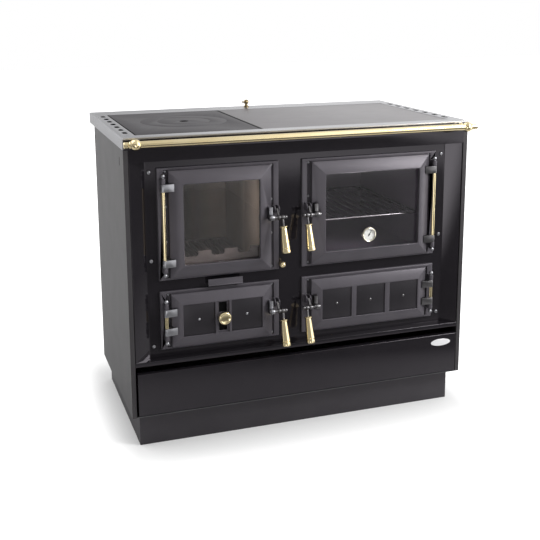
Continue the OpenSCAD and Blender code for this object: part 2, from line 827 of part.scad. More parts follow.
module front_plate() {
    x = half_w - sheet;
    color([0.04, 0.04, 0.045]) difference() {
        span(-x, x, plate_y, inner_y, ledge_z, casing_z - 8);
        fire_row() door_middle(fire_door_w) slab(plate_y - cut, plate_t + 2 * cut)
            frame_opening(fire_door_w, upper_door_h, 2);
        oven_row() door_middle(oven_door_w) slab(plate_y - cut, plate_t + 2 * cut)
            frame_opening(oven_door_w, upper_door_h, 2);
        ash_row() door_middle(fire_door_w) slab(plate_y - cut, plate_t + 2 * cut)
            frame_opening(fire_door_w, lower_door_h, 2);
        store_row() door_middle(oven_door_w) slab(plate_y - cut, plate_t + 2 * cut)
            frame_opening(oven_door_w, lower_door_h, 2);
        span(slider_cx - slider_neck / 2 - gap, slider_cx + slider_neck / 2 + gap,
            plate_y - cut, inner_y + cut, slider_z - gap, slider_z + slider_t + gap);
        rod_y(pull_x, plate_y - cut, pull_z, plate_t + 2 * cut, pull_rod_r + fit);
    }
}

// All small domed screws of the front: six in the plate, the rest in the door frames
module front_screws() {
    plate_x = half_w - side_margin + 19;
    upper_side = upper_door_h / 2 - 3.5;
    lower_side = lower_door_h / 2 - 3.5;
    top_row = upper_z + upper_door_h / 2 - 4;
    low_row = lower_z - lower_door_h / 2 + 3;
    color([0.62, 0.62, 0.64]) {
        for (x = [-plate_x, plate_x], z = [low_row, (low_row + top_row) / 2, top_row]) {
            dome_screw(x, plate_y, z, plate_screw_r);
        }
        fire_row() frame_screws(fire_door_w, [-1, -1 / 3, 1 / 3, 1] * upper_side);
        oven_row() frame_screws(oven_door_w, [-1, -1 / 3, 1 / 3, 1] * upper_side);
        ash_row() frame_screws(fire_door_w, [-1, 1] * lower_side);
        store_row() frame_screws(oven_door_w, [-1, 1] * lower_side);
    }
}

module hob_plate_left() {
    color([0.3, 0.3, 0.32]) difference() {
        span(hob_x0 + hob_gap, joint_x - hob_gap / 2, hob_y0 + hob_gap, hob_y1 - hob_gap,
            seat_z, body_h - 0.5);
        stepped_disc(ring_r, body_h + cut, -gap);
        translate([ring_cx, ring_cy, seat_z - cut])
            cylinder(h = hob_t, r = ring_r - ring_step + gap);
    }
}

module hob_plate_right() {
    color([0.56, 0.56, 0.58])
        span(joint_x + hob_gap / 2, hob_x1 - hob_gap, hob_y0 + hob_gap, hob_y1 - hob_gap,
            seat_z, body_h - 0.5);
}

module hob_ring() {
    color([0.28, 0.28, 0.3]) difference() {
        stepped_disc(ring_r, body_h - 0.5, 0);
        stepped_disc(lid_r, body_h + cut, -gap);
        translate([ring_cx, ring_cy, seat_z - cut])
            cylinder(h = hob_t, r = lid_r - ring_step + gap);
    }
}

module hob_lid() {
    color([0.28, 0.28, 0.3]) difference() {
        stepped_disc(lid_r, body_h - 0.5, 0);
        translate([ring_cx, ring_cy, seat_z - cut]) cylinder(h = hob_t + 2 * cut, r = lifter_r);
    }
}

module rail_tube() {
    ball_x = half_w - rail_ball_in;
    end_x = ball_x + rail_ball / 2 + rail_cap;
    y = fy - rail_out;
    z = body_h - rail_drop;
    cap_r = rail_dia / 2 - 1;
    color([0.85, 0.68, 0.32]) {
        difference() {
            rod_x(-ball_x, y, z, 2 * ball_x, rail_dia / 2);
            rod_x(-ball_x - cut, y, z, 2 * ball_x + 2 * cut, rail_dia / 2 - rail_wall);
        }
        for (side = [-1, 1]) {
            translate([side * ball_x, y, z]) rotate([0, side * 90, 0]) rotate_extrude()
                polygon([[0, 0], [cap_r + 1, 0], [cap_r + 1, rail_ball / 2 + 1],
                    [cap_r - 1, rail_ball / 2 + 3], [cap_r - 1, rail_ball / 2 + 5],
                    [cap_r, rail_ball / 2 + 6], [cap_r, end_x - ball_x - 2],
                    [cap_r - 2, end_x - ball_x], [0, end_x - ball_x]]);
        }
    }
}

// Balls on necks, whose flanges sit on the strip under the top frame's edge
module rail_brackets() {
    ball_x = half_w - rail_ball_in;
    reach = rail_out + skirt_in;
    flange_r = rail_drop - top_t;
    y = fy - rail_out;
    z = body_h - rail_drop;
    color([0.85, 0.68, 0.32]) for (side = [-1, 1]) difference() {
        translate([side * ball_x, y, z]) rotate([-90, 0, 0]) rotate_extrude() {
            intersection() {
                circle(rail_ball / 2);
                translate([0, -rail_ball / 2]) square([rail_ball / 2, rail_ball]);
            }
            polygon([[0, 0], [5.5, 0], [5.5, reach - 7], [flange_r, reach - 4],
                [flange_r, reach], [0, reach]]);
        }
        rod_x(side * ball_x - rail_ball, y, z, 2 * rail_ball, rail_dia / 2 + fit);
    }
}

module fire_door_frame() {
    color([0.2, 0.2, 0.215]) fire_row() door_frame(fire_door_w, upper_door_h, upper_strap);
}

module oven_door_frame() {
    color([0.2, 0.2, 0.215]) oven_row() door_frame(oven_door_w, upper_door_h, upper_strap);
}

module ash_door_frame() {
    color([0.2, 0.2, 0.215]) ash_row() door_frame(fire_door_w, lower_door_h, lower_strap);
}

module store_door_frame() {
    color([0.2, 0.2, 0.215]) store_row() door_frame(oven_door_w, lower_door_h, lower_strap);
}

module hinge_pins() {
    color([0.6, 0.6, 0.62]) {
        fire_row() hinge_pin(upper_strap);
        oven_row() hinge_pin(upper_strap);
        ash_row() hinge_pin(lower_strap);
        store_row() hinge_pin(lower_strap);
    }
}

module hinge_sleeves() {
    color([0.85, 0.68, 0.32]) {
        fire_row() hinge_sleeve(upper_strap);
        oven_row() hinge_sleeve(upper_strap);
        ash_row() hinge_sleeve(lower_strap);
        store_row() hinge_sleeve(lower_strap);
    }
}

module fire_door() {
    color([0.22, 0.22, 0.235]) fire_row() glazed_door(fire_door_w, upper_door_h);
}

module oven_door() {
    color([0.22, 0.22, 0.235]) oven_row() glazed_door(oven_door_w, upper_door_h);
}

module ash_door() {
    face = door_edge - lower_rise;
    window_h = panel_h / 2 - valve_r - 12;
    color([0.22, 0.22, 0.235]) ash_row()
        panelled_door(fire_door_w, ash_places, ash_panel_w) {
            translate([ash_cell_x, 0, 0]) slab(face - cut, web_y - face + cut)
                square([ash_cell_w, panel_h], center = true);
            for (side = [-1, 1]) {
                translate([ash_cell_x, 0, side * (panel_h / 2 - 4 - window_h / 2)])
                    slab(web_y - cut, web_t + 2 * cut) square([ash_cell_w - 10, window_h], center = true);
            }
            rod_y(ash_cell_x, face, 0, web_y + web_t + cut - face, valve_r + fit);
        }
}

module store_door() {
    color([0.22, 0.22, 0.235]) store_row()
        panelled_door(oven_door_w, store_places, store_panel_w);
}

module fire_door_glass() {
    color([0.35, 0.28, 0.22, 0.5]) fire_row() door_glass(fire_door_w, upper_door_h);
}

module oven_door_glass() {
    color([0.1, 0.1, 0.11, 0.8]) oven_row() difference() {
        door_glass(oven_door_w, upper_door_h);
        rod_y(thermo_x, glass_front - cut, -thermo_drop, glass_t + 2 * cut, thermo_dia / 2 - 4 + fit);
    }
}

module ash_door_panels() {
    color([0.05, 0.05, 0.055]) ash_row() door_panels(fire_door_w, ash_places, ash_panel_w);
}

module store_door_panels() {
    color([0.05, 0.05, 0.055]) store_row() door_panels(oven_door_w, store_places, store_panel_w);
}

module door_fittings(w, strap_at) {
    straps(strap_at);
    latch_bearing(hinge_to_door + w, spindle_r);
}

module fire_door_fittings() {
    color([0.45, 0.45, 0.47]) fire_row() door_fittings(fire_door_w, upper_strap);
}

module oven_door_fittings() {
    color([0.45, 0.45, 0.47]) oven_row() door_fittings(oven_door_w, upper_strap);
}

module ash_door_fittings() {
    color([0.45, 0.45, 0.47]) ash_row() {
        door_fittings(fire_door_w, lower_strap);
        panel_screws(fire_door_w, ash_places);
    }
}

module store_door_fittings() {
    color([0.45, 0.45, 0.47]) store_row() {
        door_fittings(oven_door_w, lower_strap);
        panel_screws(oven_door_w, store_places);
    }
}

module fire_latch() { color([0.5, 0.5, 0.52]) fire_row() latch_lever(fire_door_w); }
module oven_latch() { color([0.5, 0.5, 0.52]) oven_row() latch_lever(oven_door_w); }
module ash_latch() { color([0.5, 0.5, 0.52]) ash_row() latch_lever(fire_door_w); }
module store_latch() { color([0.5, 0.5, 0.52]) store_row() latch_lever(oven_door_w); }

module fire_grip() { color([0.85, 0.68, 0.32]) fire_row() grip(fire_door_w); }
module oven_grip() { color([0.85, 0.68, 0.32]) oven_row() grip(oven_door_w); }
module ash_grip() { color([0.85, 0.68, 0.32]) ash_row() grip(fire_door_w); }
module store_grip() { color([0.85, 0.68, 0.32]) store_row() grip(oven_door_w); }

// Thermometer case: a cup through the glass, with a bezel in front of it
thermo_r = thermo_dia / 2;
glass_front = door_edge - 4;
dial_depth = 3;

module thermometer() {
    color([0.8, 0.8, 0.82]) oven_row() turned_y(thermo_x, glass_front, -thermo_drop)
        polygon([[0, -glass_t - 6], [thermo_r - 4, -glass_t - 6], [thermo_r - 4, 0],
            [thermo_r, 0], [thermo_r, 5], [thermo_r - 1.5, 8], [thermo_r - 3.5, 8],
            [thermo_r - 4, dial_depth], [0, dial_depth]]);
}

module thermometer_pointer() {
    tip = thermo_r - 7;
    y = glass_front - dial_depth - gap;
    color([0.08, 0.08, 0.08]) oven_row() translate([thermo_x, 0, -thermo_drop]) {
        rod_y(0, y - 2, 0, 2, 2.2);
        slab(y - 1, 1) rotate(35) polygon([[-1.2, -6], [1.2, -6], [0.4, tip], [-0.4, tip]]);
    }
}

// Brass air knob, its spindle through the door's web, and the bar that covers the holes
module air_valve() {
    knob_r = air_knob_dia / 2;
    knob_back = door_edge - lower_rise - 2;
    color([0.85, 0.68, 0.32]) ash_row() {
        turned_y(ash_cell_x, knob_back, 0) polygon([[0, 0], [8, 0], [9, 4],
            [knob_r - 2, 6], [knob_r, 8], [knob_r, 12], [knob_r - 2, 14.5],
            [knob_r - 7, 16], [0, 16.5]]);
        rod_y(ash_cell_x, knob_back, 0, web_y + web_t + gap - knob_back + 3, valve_r);
        translate([ash_cell_x, 0, 0]) slab(web_y + web_t + gap, 3)
            square([ash_cell_w - 6, panel_h - 4], center = true);
    }
}

module air_slider() {
    x0 = slider_cx - slider_w / 2;
    neck0 = slider_cx - slider_neck / 2;
    lip_y = plate_y - 14;
    color([0.16, 0.16, 0.17]) {
        span(neck0, neck0 + slider_neck, lip_y, inner_y + slider_reach,
            slider_z, slider_z + slider_t);
        span(x0, x0 + slider_w, lip_y - slider_t, lip_y, slider_z, slider_z + 19);
        rod_x(x0, lip_y - slider_t, slider_z + 2, slider_w, 2.5);
    }
}

module pull_knob() {
    knob_r = pull_knob_dia / 2;
    knob_y = frame_y - knob_r - 1;
    color([0.85, 0.68, 0.32]) {
        translate([pull_x, knob_y, pull_z]) sphere(knob_r);
        rod_y(pull_x, knob_y, pull_z, inner_y + pull_reach - knob_y, pull_rod_r);
        rod_y(pull_x, inner_y + pull_reach - 4, pull_z, 4, pull_rod_r + 4);
    }
}

module damper_knob() {
    color([0.85, 0.68, 0.32]) translate([flue_x, fy + damper_y, body_h]) {
        difference() {
            union() {
                rotate_extrude() polygon([[0, gap], [8, gap], [8, 3], [4.5, 5], [4.5, 12], [0, 12]]);
                translate([0, 0, 16]) sphere(8);
                translate([0, 0, 16]) rotate([0, -90, 0]) cylinder(h = 15, r = 2.5);
            }
            translate([0, 0, -cut]) cylinder(h = 8, r = damper_r - 1);
        }
    }
}

// Vertical spindle with an oval flap; the flap lies along the flue when it is open
module damper_flap() {
    stem_top = body_h + 7 - cut;
    stem_low = flue_z - flue_bore + 2;
    color([0.3, 0.3, 0.31]) translate([flue_x, fy + damper_y, 0]) {
        translate([0, 0, stem_low]) cylinder(h = body_h - gap - stem_low, r = damper_r);
        translate([0, 0, body_h - gap - cut]) cylinder(h = stem_top - body_h + gap + cut, r = damper_r - 1);
        intersection() {
            span(-1.5, 1.5, -damper_w / 2, damper_w / 2, flue_z - flue_bore, flue_z + flue_bore);
            translate([-flue_r, 0, flue_z]) rotate([0, 90, 0]) cylinder(h = flue_dia, r = flue_bore - 4);
        }
    }
}

module flue_collar() {
    neck_r = flue_r + 3;
    back = fy + back_reach;
    color([0.14, 0.14, 0.15]) difference() {
        union() {
            rod_y(flue_x, back_y, flue_z, 5, flue_r + 20);
            rod_y(flue_x, back_y, flue_z, fy + collar_neck_y - back_y, neck_r);
            rod_y(flue_x, back_y, flue_z, back - back_y, flue_r);
        }
        rod_y(flue_x, back_y - cut, flue_z, back - back_y + 2 * cut, flue_bore);
        translate([flue_x, fy + damper_y, flue_z]) cylinder(h = flue_dia, r = damper_r + fit);
    }
}

module storage_drawer() {
    y1 = tray_y + drawer_len;
    z1 = tray_z + tray_h;
    color([0.35, 0.35, 0.37]) difference() {
        span(-tray_half, tray_half, tray_y, y1, tray_z, z1);
        span(-tray_half + sheet, tray_half - sheet, tray_y + sheet, y1 - sheet,
            tray_z + sheet, z1 + cut);
    }
}

// The drawer's front, folded back all round
module drawer_front() {
    x = half_w - drawer_side;
    y0 = fy - drawer_out;
    color([0.05, 0.05, 0.055]) difference() {
        span(-x, x, y0, y0 + drawer_front_t, drawer_z, drawer_z + drawer_h);
        span(-x + sheet, x - sheet, y0 + sheet, y0 + drawer_front_t - sheet,
            drawer_z + sheet, drawer_z + drawer_h - sheet);
    }
}

module drawer_runners() {
    guide = tray_half + gap + 0.4;
    z0 = plinth_h + sheet;
    color([0.5, 0.5, 0.52]) for (side = [-1, 1]) mirror([side < 0 ? 1 : 0, 0, 0])
        run_y_runner(guide, z0);
}

module run_y_runner(guide, z0) {
    translate([0, back_y - sheet, 0]) rotate([90, 0, 0])
        linear_extrude(casing_d - sheet - 24) polygon([[guide - runner_foot, z0],
            [guide + runner_t, z0], [guide + runner_t, z0 + 34], [guide, z0 + 34],
            [guide, z0 + runner_h], [guide - runner_foot, z0 + runner_h]]);
}

// Sheet oven with a ledge on each side for the shelf
module oven_box() {
    x0 = oven_cx - oven_w / 2;
    x1 = oven_cx + oven_w / 2;
    z0 = upper_z - upper_door_h / 2 + oven_inset;
    z1 = upper_z + upper_door_h / 2 - oven_inset;
    ledge = z0 + shelf_up - wire_dia / 2;
    color([0.32, 0.32, 0.34]) {
        difference() {
            span(x0 - sheet, x1 + sheet, inner_y, inner_y + inner_d, z0 - sheet, z1 + sheet);
            span(x0, x1, inner_y - cut, inner_y + inner_d - sheet, z0, z1);
        }
        for (x = [x0, x1 - 8]) span(x, x + 8, inner_y + 8, inner_y + inner_d - sheet, ledge - 4, ledge);
    }
}

module oven_shelf() {
    x0 = oven_cx - oven_w / 2 + 2;
    x1 = oven_cx + oven_w / 2 - 2;
    y0 = inner_y + 12;
    y1 = inner_y + inner_d - 12;
    z = upper_z - upper_door_h / 2 + oven_inset + shelf_up;
    r = wire_dia / 2;
    color([0.75, 0.75, 0.77]) {
        for (y = [y0 + r, y1 - r]) rod_x(x0, y, z, x1 - x0, r);
        for (x = [x0 + r, x1 - r]) rod_y(x, y0 + r, z, y1 - y0 - wire_dia, r);
        for (i = [1:shelf_wires]) {
            rod_y(x0 + i * (x1 - x0) / (shelf_wires + 1), y0 + r, z, y1 - y0 - wire_dia, r - 0.5);
        }
    }
}

// Cast firebox over the ash compartment, with a shelf between them for the grate
module firebox() {
    x0 = fire_cx - shell_w / 2;
    x1 = fire_cx + shell_w / 2;
    y1 = inner_y + inner_d;
    color([0.16, 0.16, 0.17]) {
        difference() {
            span(x0, x1, inner_y, y1, shell_z, shell_top);
            span(x0 + cast_t, x1 - cast_t, inner_y - cut, y1 - cast_t, shell_z + cast_t, shell_top + cut);
        }
        difference() {
            span(x0 + cast_t, x1 - cast_t, inner_y, y1 - cast_t, grate_z - cast_t, grate_z);
            span(fire_cx - grate_half + 8, fire_cx + grate_half - 8, grate_y0 + 8, grate_y1 - 8,
                grate_z - cast_t - cut, grate_z + cut);
        }
    }
}

// Fire bricks stand on that shelf against the two sides and the back
module firebricks() {
    x0 = fire_cx - shell_w / 2 + cast_t;
    x1 = fire_cx + shell_w / 2 - cast_t;
    y1 = inner_y + inner_d - cast_t;
    row = (brick_h - brick_gap) / 2;
    side_d = (y1 - brick_t - inner_y - 2 - 2 * brick_gap) / 2;
    back_w = (x1 - x0 - brick_gap) / 2;
    color([0.66, 0.55, 0.42]) for (i = [0, 1], j = [0, 1]) {
        z0 = grate_z + i * (row + brick_gap);
        y0 = inner_y + 2 + j * (side_d + brick_gap);
        for (x = [x0, x1 - brick_t]) span(x, x + brick_t, y0, y0 + side_d, z0, z0 + row);
        bx = x0 + j * (back_w + brick_gap);
        span(bx, bx + back_w, y1 - brick_t, y1, z0, z0 + row);
    }
}

grate_half = shell_w / 2 - cast_t - brick_t - 6;
grate_y0 = inner_y + 40;
grate_y1 = inner_y + inner_d - cast_t - brick_t - 8;

// Slotted grate, and the scalloped guard that keeps logs off the glass
module fire_grate() {
    pitch = (2 * grate_half - 30) / grate_slots;
    guard_y = inner_y + 14;
    guard_x = shell_w / 2 - cast_t - brick_t - 3;
    merlon = 2 * guard_x / 7;
    color([0.13, 0.13, 0.14]) {
        difference() {
            span(fire_cx - grate_half, fire_cx + grate_half, grate_y0, grate_y1, grate_z, grate_z + grate_t);
            for (i = [0:grate_slots - 1]) {
                x = fire_cx - grate_half + 15 + (i + 0.5) * pitch;
                span(x - pitch / 4, x + pitch / 4, grate_y0 + 20, grate_y1 - 20,
                    grate_z - cut, grate_z + grate_t + cut);
            }
        }
        difference() {
            span(fire_cx - guard_x, fire_cx + guard_x, guard_y, guard_y + 6, grate_z, grate_z + guard_h);
            for (i = [-1, 0, 1]) {
                translate([fire_cx + 2 * i * merlon, 0, grate_z + guard_h])
                    slab(guard_y - cut, 6 + 2 * cut) rounded(merlon, 2 * guard_notch, 8);
            }
        }
    }
}

module ash_pan() {
    half = fire_door_w / 2 - door_cover - 8;
    y0 = inner_y + 12;
    y1 = inner_y + inner_d - ash_pan_rear;
    z0 = shell_z + cast_t;
    grip_half = pan_grip_w / 2;
    arm = 2 * pan_grip_t;
    color([0.4, 0.4, 0.42]) {
        difference() {
            span(fire_cx - half, fire_cx + half, y0, y1, z0, z0 + ash_pan_h);
            span(fire_cx - half + sheet, fire_cx + half - sheet, y0 + sheet, y1 - sheet,
                z0 + sheet, z0 + ash_pan_h + cut);
        }
        difference() {
            span(fire_cx - grip_half, fire_cx + grip_half, y0 - pan_grip_out, y0,
                z0 + pan_grip_up, z0 + pan_grip_up + pan_grip_t);
            span(fire_cx - grip_half + arm, fire_cx + grip_half - arm, y0 - pan_grip_out + pan_grip_t, y0,
                z0 + pan_grip_up - cut, z0 + pan_grip_up + pan_grip_t + cut);
        }
    }
}

module store_box() {
    x0 = oven_cx - oven_w / 2;
    x1 = oven_cx + oven_w / 2;
    y1 = inner_y + inner_d - store_less;
    z0 = lower_z - lower_door_h / 2 + oven_inset;
    z1 = lower_z + lower_door_h / 2 - oven_inset;
    color([0.3, 0.3, 0.32]) difference() {
        span(x0 - sheet, x1 + sheet, inner_y, y1, z0 - sheet, z1 + sheet);
        span(x0, x1, inner_y - cut, y1 - sheet, z0, z1);
    }
}

plinth();
base_plate();
side_panel_left();
side_panel_right();
back_panel();
top_frame();
top_fascia();
lower_ledge();
front_plate();
front_screws();
hob_plate_left();
hob_plate_right();
hob_ring();
hob_lid();
rail_tube();
rail_brackets();
fire_door_frame();
oven_door_frame();
ash_door_frame();
store_door_frame();
hinge_pins();
hinge_sleeves();
fire_door();
oven_door();
ash_door();
store_door();
fire_door_glass();
oven_door_glass();
ash_door_panels();
store_door_panels();
fire_door_fittings();
oven_door_fittings();
ash_door_fittings();
store_door_fittings();
fire_latch();
oven_latch();
ash_latch();
store_latch();
fire_grip();
oven_grip();
ash_grip();
store_grip();
thermometer();
thermometer_pointer();
air_valve();
air_slider();
pull_knob();
damper_knob();
damper_flap();
flue_collar();
storage_drawer();
drawer_front();
drawer_runners();
oven_box();
oven_shelf();
firebox();
firebricks();
fire_grate();
ash_pan();
store_box();
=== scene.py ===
# %% [markdown]
# # A cast iron range cooker
# A solid fuel cooker is a steel casing round a cast firebox and a sheet oven. Its doors
# are castings with sloping borders, its hob is two loose iron plates in a stainless
# frame, and its handles, rail and hinge sleeves are turned brass. The solids come from
# the construction model. This file gives them their finishes, rounds the edges that
# catch the light, and adds what is too fine for the construction: socket screws,
# enamelled tiles, the thermometer's dial, rope seals, the clips that hold the glass, the
# sloping sheets beside the front plate and flat black cups under the air slots, which
# are painted shade. Some finishes carry painted shade too, and the floor carries painted
# reflections.

# %% Load the construction model
import json
import math
import bmesh
import bpy
from mathutils import Matrix, Vector


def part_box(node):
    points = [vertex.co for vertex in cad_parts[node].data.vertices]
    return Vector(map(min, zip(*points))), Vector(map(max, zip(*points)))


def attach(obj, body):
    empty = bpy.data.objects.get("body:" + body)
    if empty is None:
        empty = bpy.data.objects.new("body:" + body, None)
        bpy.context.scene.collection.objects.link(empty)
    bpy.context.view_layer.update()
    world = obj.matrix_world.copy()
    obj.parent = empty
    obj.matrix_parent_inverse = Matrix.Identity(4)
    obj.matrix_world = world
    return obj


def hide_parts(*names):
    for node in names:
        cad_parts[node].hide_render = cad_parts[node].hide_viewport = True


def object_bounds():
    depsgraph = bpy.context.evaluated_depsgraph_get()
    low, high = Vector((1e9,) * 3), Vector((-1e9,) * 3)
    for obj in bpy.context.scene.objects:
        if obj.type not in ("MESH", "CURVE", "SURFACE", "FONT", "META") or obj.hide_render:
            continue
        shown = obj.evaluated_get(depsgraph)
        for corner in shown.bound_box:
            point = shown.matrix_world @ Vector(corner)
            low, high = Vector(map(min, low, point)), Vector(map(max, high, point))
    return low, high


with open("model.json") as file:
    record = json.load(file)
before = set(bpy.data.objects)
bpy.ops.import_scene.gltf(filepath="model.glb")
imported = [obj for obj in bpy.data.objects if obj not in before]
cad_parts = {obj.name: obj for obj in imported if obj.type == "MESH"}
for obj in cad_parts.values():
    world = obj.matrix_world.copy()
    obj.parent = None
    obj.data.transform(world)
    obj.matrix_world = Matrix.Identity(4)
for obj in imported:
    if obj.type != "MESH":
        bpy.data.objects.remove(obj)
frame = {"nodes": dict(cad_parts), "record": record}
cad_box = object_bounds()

MM = 0.001
MERGE = 0.003 * MM  # points closer than this are one point
nodes = frame["nodes"]
record = frame["record"]
slot_of = {row["node"]: row["material_slot"] for row in record["subparts"]}
body_of = {name: body for body, names in record["behaviour"]["bodies"].items() for name in names}
print("nodes", len(nodes), "size in m", [round(v, 3) for v in cad_box[1] - cad_box[0]])

# %% [markdown]
# ## Helpers for shader nodes
# A finish is a Principled shader with patterns plugged into it. A few small helpers keep
# the graphs short: one adds a node with its settings, one mixes two colours, and one
# makes a node group with named sockets. Patterns read Object coordinates, which are
# metres here, so a scale of 1000 gives a feature about a millimetre wide.

# %% Node helpers
def add_node(tree, kind, inputs=None, **settings):
    node = tree.nodes.new(kind)
    for key, value in settings.items():
        setattr(node, key, value)
    for key, value in (inputs or {}).items():
        if isinstance(value, bpy.types.NodeSocket):
            tree.links.new(value, node.inputs[key])
        else:
            node.inputs[key].default_value = value
    return node


def calculate(tree, operation, first, second):
    return add_node(tree, "ShaderNodeMath", {0: first, 1: second}, operation=operation).outputs[0]


# A Mix node has sockets for every data type. These are the places of the colour ones.
MIX_SHARE, MIX_FIRST, MIX_SECOND, MIX_RESULT = 0, 6, 7, 2
BLACK, WHITE = (0.0, 0.0, 0.0, 1.0), (1.0, 1.0, 1.0, 1.0)


def blend_colours(tree, share, first, second):
    sockets = {MIX_SHARE: share, MIX_FIRST: first, MIX_SECOND: second}
    return add_node(tree, "ShaderNodeMix", sockets, data_type="RGBA").outputs[MIX_RESULT]


def new_group(name, inputs, outputs):
    group = bpy.data.node_groups.new(name, "ShaderNodeTree")
    for label, value in inputs.items():
        kind = "NodeSocketColor" if isinstance(value, tuple) else "NodeSocketFloat"
        socket = group.interface.new_socket(label, in_out="INPUT", socket_type=kind)
        socket.default_value = (*value, 1.0) if isinstance(value, tuple) else value
    for label, kind in outputs.items():
        group.interface.new_socket(label, in_out="OUTPUT", socket_type=kind)
    given = group.nodes.new("NodeGroupInput").outputs
    return group, given, group.nodes.new("NodeGroupOutput").inputs

# %% [markdown]
# ## What both patterns share
# Each pattern below ends in the same way. Its mask shifts the roughness up and down
# round the given value, and its height goes through a Bump node to the normal. One
# function makes these three outputs for any group.

# %% Outputs of a pattern
SURFACE = {"Colour": "NodeSocketColor", "Roughness": "NodeSocketFloat",
    "Normal": "NodeSocketVector"}


def connect_surface(group, out, colour, pattern, given, height):
    centred = calculate(group, "SUBTRACT", pattern, 0.5)
    shift = calculate(group, "MULTIPLY", centred, given["Spread"])
    bump = add_node(group, "ShaderNodeBump",
        {"Strength": 1.0, "Distance": given["Depth"], "Height": height})
    group.links.new(colour, out["Colour"])
    group.links.new(calculate(group, "ADD", shift, given["Roughness"]), out["Roughness"])
    group.links.new(bump.outputs["Normal"], out["Normal"])

# %% [markdown]
# ## Grain of a casting
# Iron from a sand mould keeps a fine pebbled skin under its paint, and the paint is a
# little duller in some places than in others. One noise gives the pebbles as a bump and
# a second, wide one shifts the roughness and the tint. The group is used by every cast,
# painted or enamelled finish, each with its own size and depth.

# %% The cast grain group
def make_cast_grain():
    group, given, out = new_group("Cast grain",
        {"Grain scale": 900.0, "Depth": 0.0003, "Roughness": 0.5, "Spread": 0.1,
         "Patch scale": 14.0, "Colour": (0.05, 0.05, 0.05), "Patch colour": (0.06, 0.06, 0.06)},
        SURFACE)
    place = add_node(group, "ShaderNodeTexCoord").outputs["Object"]
    pebbles = add_node(group, "ShaderNodeTexNoise",
        {"Vector": place, "Scale": given["Grain scale"], "Detail": 3.0, "Roughness": 0.6})
    patches = add_node(group, "ShaderNodeTexNoise",
        {"Vector": place, "Scale": given["Patch scale"], "Detail": 4.0, "Roughness": 0.55})
    mask = add_node(group, "ShaderNodeMapRange",
        {"Value": patches.outputs["Fac"], "From Min": 0.35, "From Max": 0.65})
    tint = blend_colours(group, mask.outputs["Result"], given["Colour"], given["Patch colour"])
    connect_surface(group, out, tint, patches.outputs["Fac"], given, pebbles.outputs["Fac"])
    return group


cast_grain = make_cast_grain()
print("group", cast_grain.name)

# %% [markdown]
# ## Brushed and ground metal
# Stainless sheet is brushed along its length, and the steel hob plate is ground. Both
# show long fine lines. The same noise as before does it, if the coordinates are squeezed
# along the line's direction first, which an uneven scale does. Wide clouds over the
# lines stand for the heat marks and wiping that any hob soon shows.

# %% The brushed group
def make_brushed():
    group, given, out = new_group("Brushed",
        {"Along X": 6.0, "Along Y": 900.0, "Depth": 0.00004, "Roughness": 0.3, "Spread": 0.15,
         "Cloud": 0.5, "Colour": (0.6, 0.6, 0.6), "Streak colour": (0.5, 0.5, 0.5)},
        SURFACE)
    place = add_node(group, "ShaderNodeTexCoord").outputs["Object"]
    scale = add_node(group, "ShaderNodeCombineXYZ",
        {"X": given["Along X"], "Y": given["Along Y"], "Z": given["Along Y"]})
    squeezed = add_node(group, "ShaderNodeVectorMath",
        {0: place, 1: scale.outputs[0]}, operation="MULTIPLY")
    lines = add_node(group, "ShaderNodeTexNoise",
        {"Vector": squeezed.outputs[0], "Scale": 1.0, "Detail": 2.0, "Roughness": 0.5})
    clouds = add_node(group, "ShaderNodeTexNoise",
        {"Vector": place, "Scale": 9.0, "Detail": 4.0, "Roughness": 0.6})
    wiped = calculate(group, "MULTIPLY",
        calculate(group, "SUBTRACT", clouds.outputs["Fac"], 0.5), given["Cloud"])
    pattern = calculate(group, "ADD", lines.outputs["Fac"], wiped)
    tint = blend_colours(group, pattern, given["Colour"], given["Streak colour"])
    connect_surface(group, out, tint, pattern, given, lines.outputs["Fac"])
    return group


brushed = make_brushed()
print("group", brushed.name)

# %% [markdown]
# ## One function for every patterned finish
# A material is a Principled shader fed by one of the two groups. What is the same all
# over the surface, such as metallic or the tint of its gloss, is set on the shader
# itself, with a _ in its name where the socket has a space.

# %% The material function
def finish(name, group, pattern, **constants):
    material = bpy.data.materials.new(name)
    material.use_nodes = True
    tree = material.node_tree
    shader = tree.nodes["Principled BSDF"]
    made = add_node(tree, "ShaderNodeGroup", node_tree=group)
    for label, value in pattern.items():
        made.inputs[label].default_value = (*value, 1.0) if isinstance(value, tuple) else value
    tree.links.new(made.outputs["Colour"], shader.inputs["Base Color"])
    tree.links.new(made.outputs["Roughness"], shader.inputs["Roughness"])
    tree.links.new(made.outputs["Normal"], shader.inputs["Normal"])
    for label, value in constants.items():
        shader.inputs[label.replace("_", " ")].default_value = value
    print("finish", name)
    return material

# %% [markdown]
# ## Enamel and paint
# Black enamel is glass on steel: smooth, with a faint ripple, and dark because almost
# nothing but its gloss comes back. The casing's sides are a satin enamel that spreads
# the light. The doors are cast iron in a satin grey paint. The room's light makes all of
# them look faintly violet, which a tint of their gloss gives.

# %% Enamel and paint finishes
VIOLET = (1.0, 0.94, 1.02, 1.0)
black_enamel = finish("Black enamel", cast_grain,
    {"Grain scale": 60.0, "Depth": 0.00003, "Roughness": 0.07, "Spread": 0.05,
     "Colour": (0.0086, 0.0076, 0.0094), "Patch colour": (0.0102, 0.009, 0.0108)},
    Specular_Tint=VIOLET)
side_enamel = finish("Side enamel", cast_grain,
    {"Grain scale": 220.0, "Depth": 0.00004, "Roughness": 0.38, "Spread": 0.08,
     "Colour": (0.026, 0.0242, 0.0262), "Patch colour": (0.03, 0.0282, 0.0302)},
    Specular_Tint=(1.0, 0.97, 0.99, 1.0))
plinth_paint = finish("Plinth paint", cast_grain,
    {"Grain scale": 700.0, "Depth": 0.0001, "Roughness": 0.42, "Spread": 0.1,
     "Colour": (0.023, 0.0212, 0.0238), "Patch colour": (0.027, 0.0252, 0.0278)},
    Specular_Tint=VIOLET)
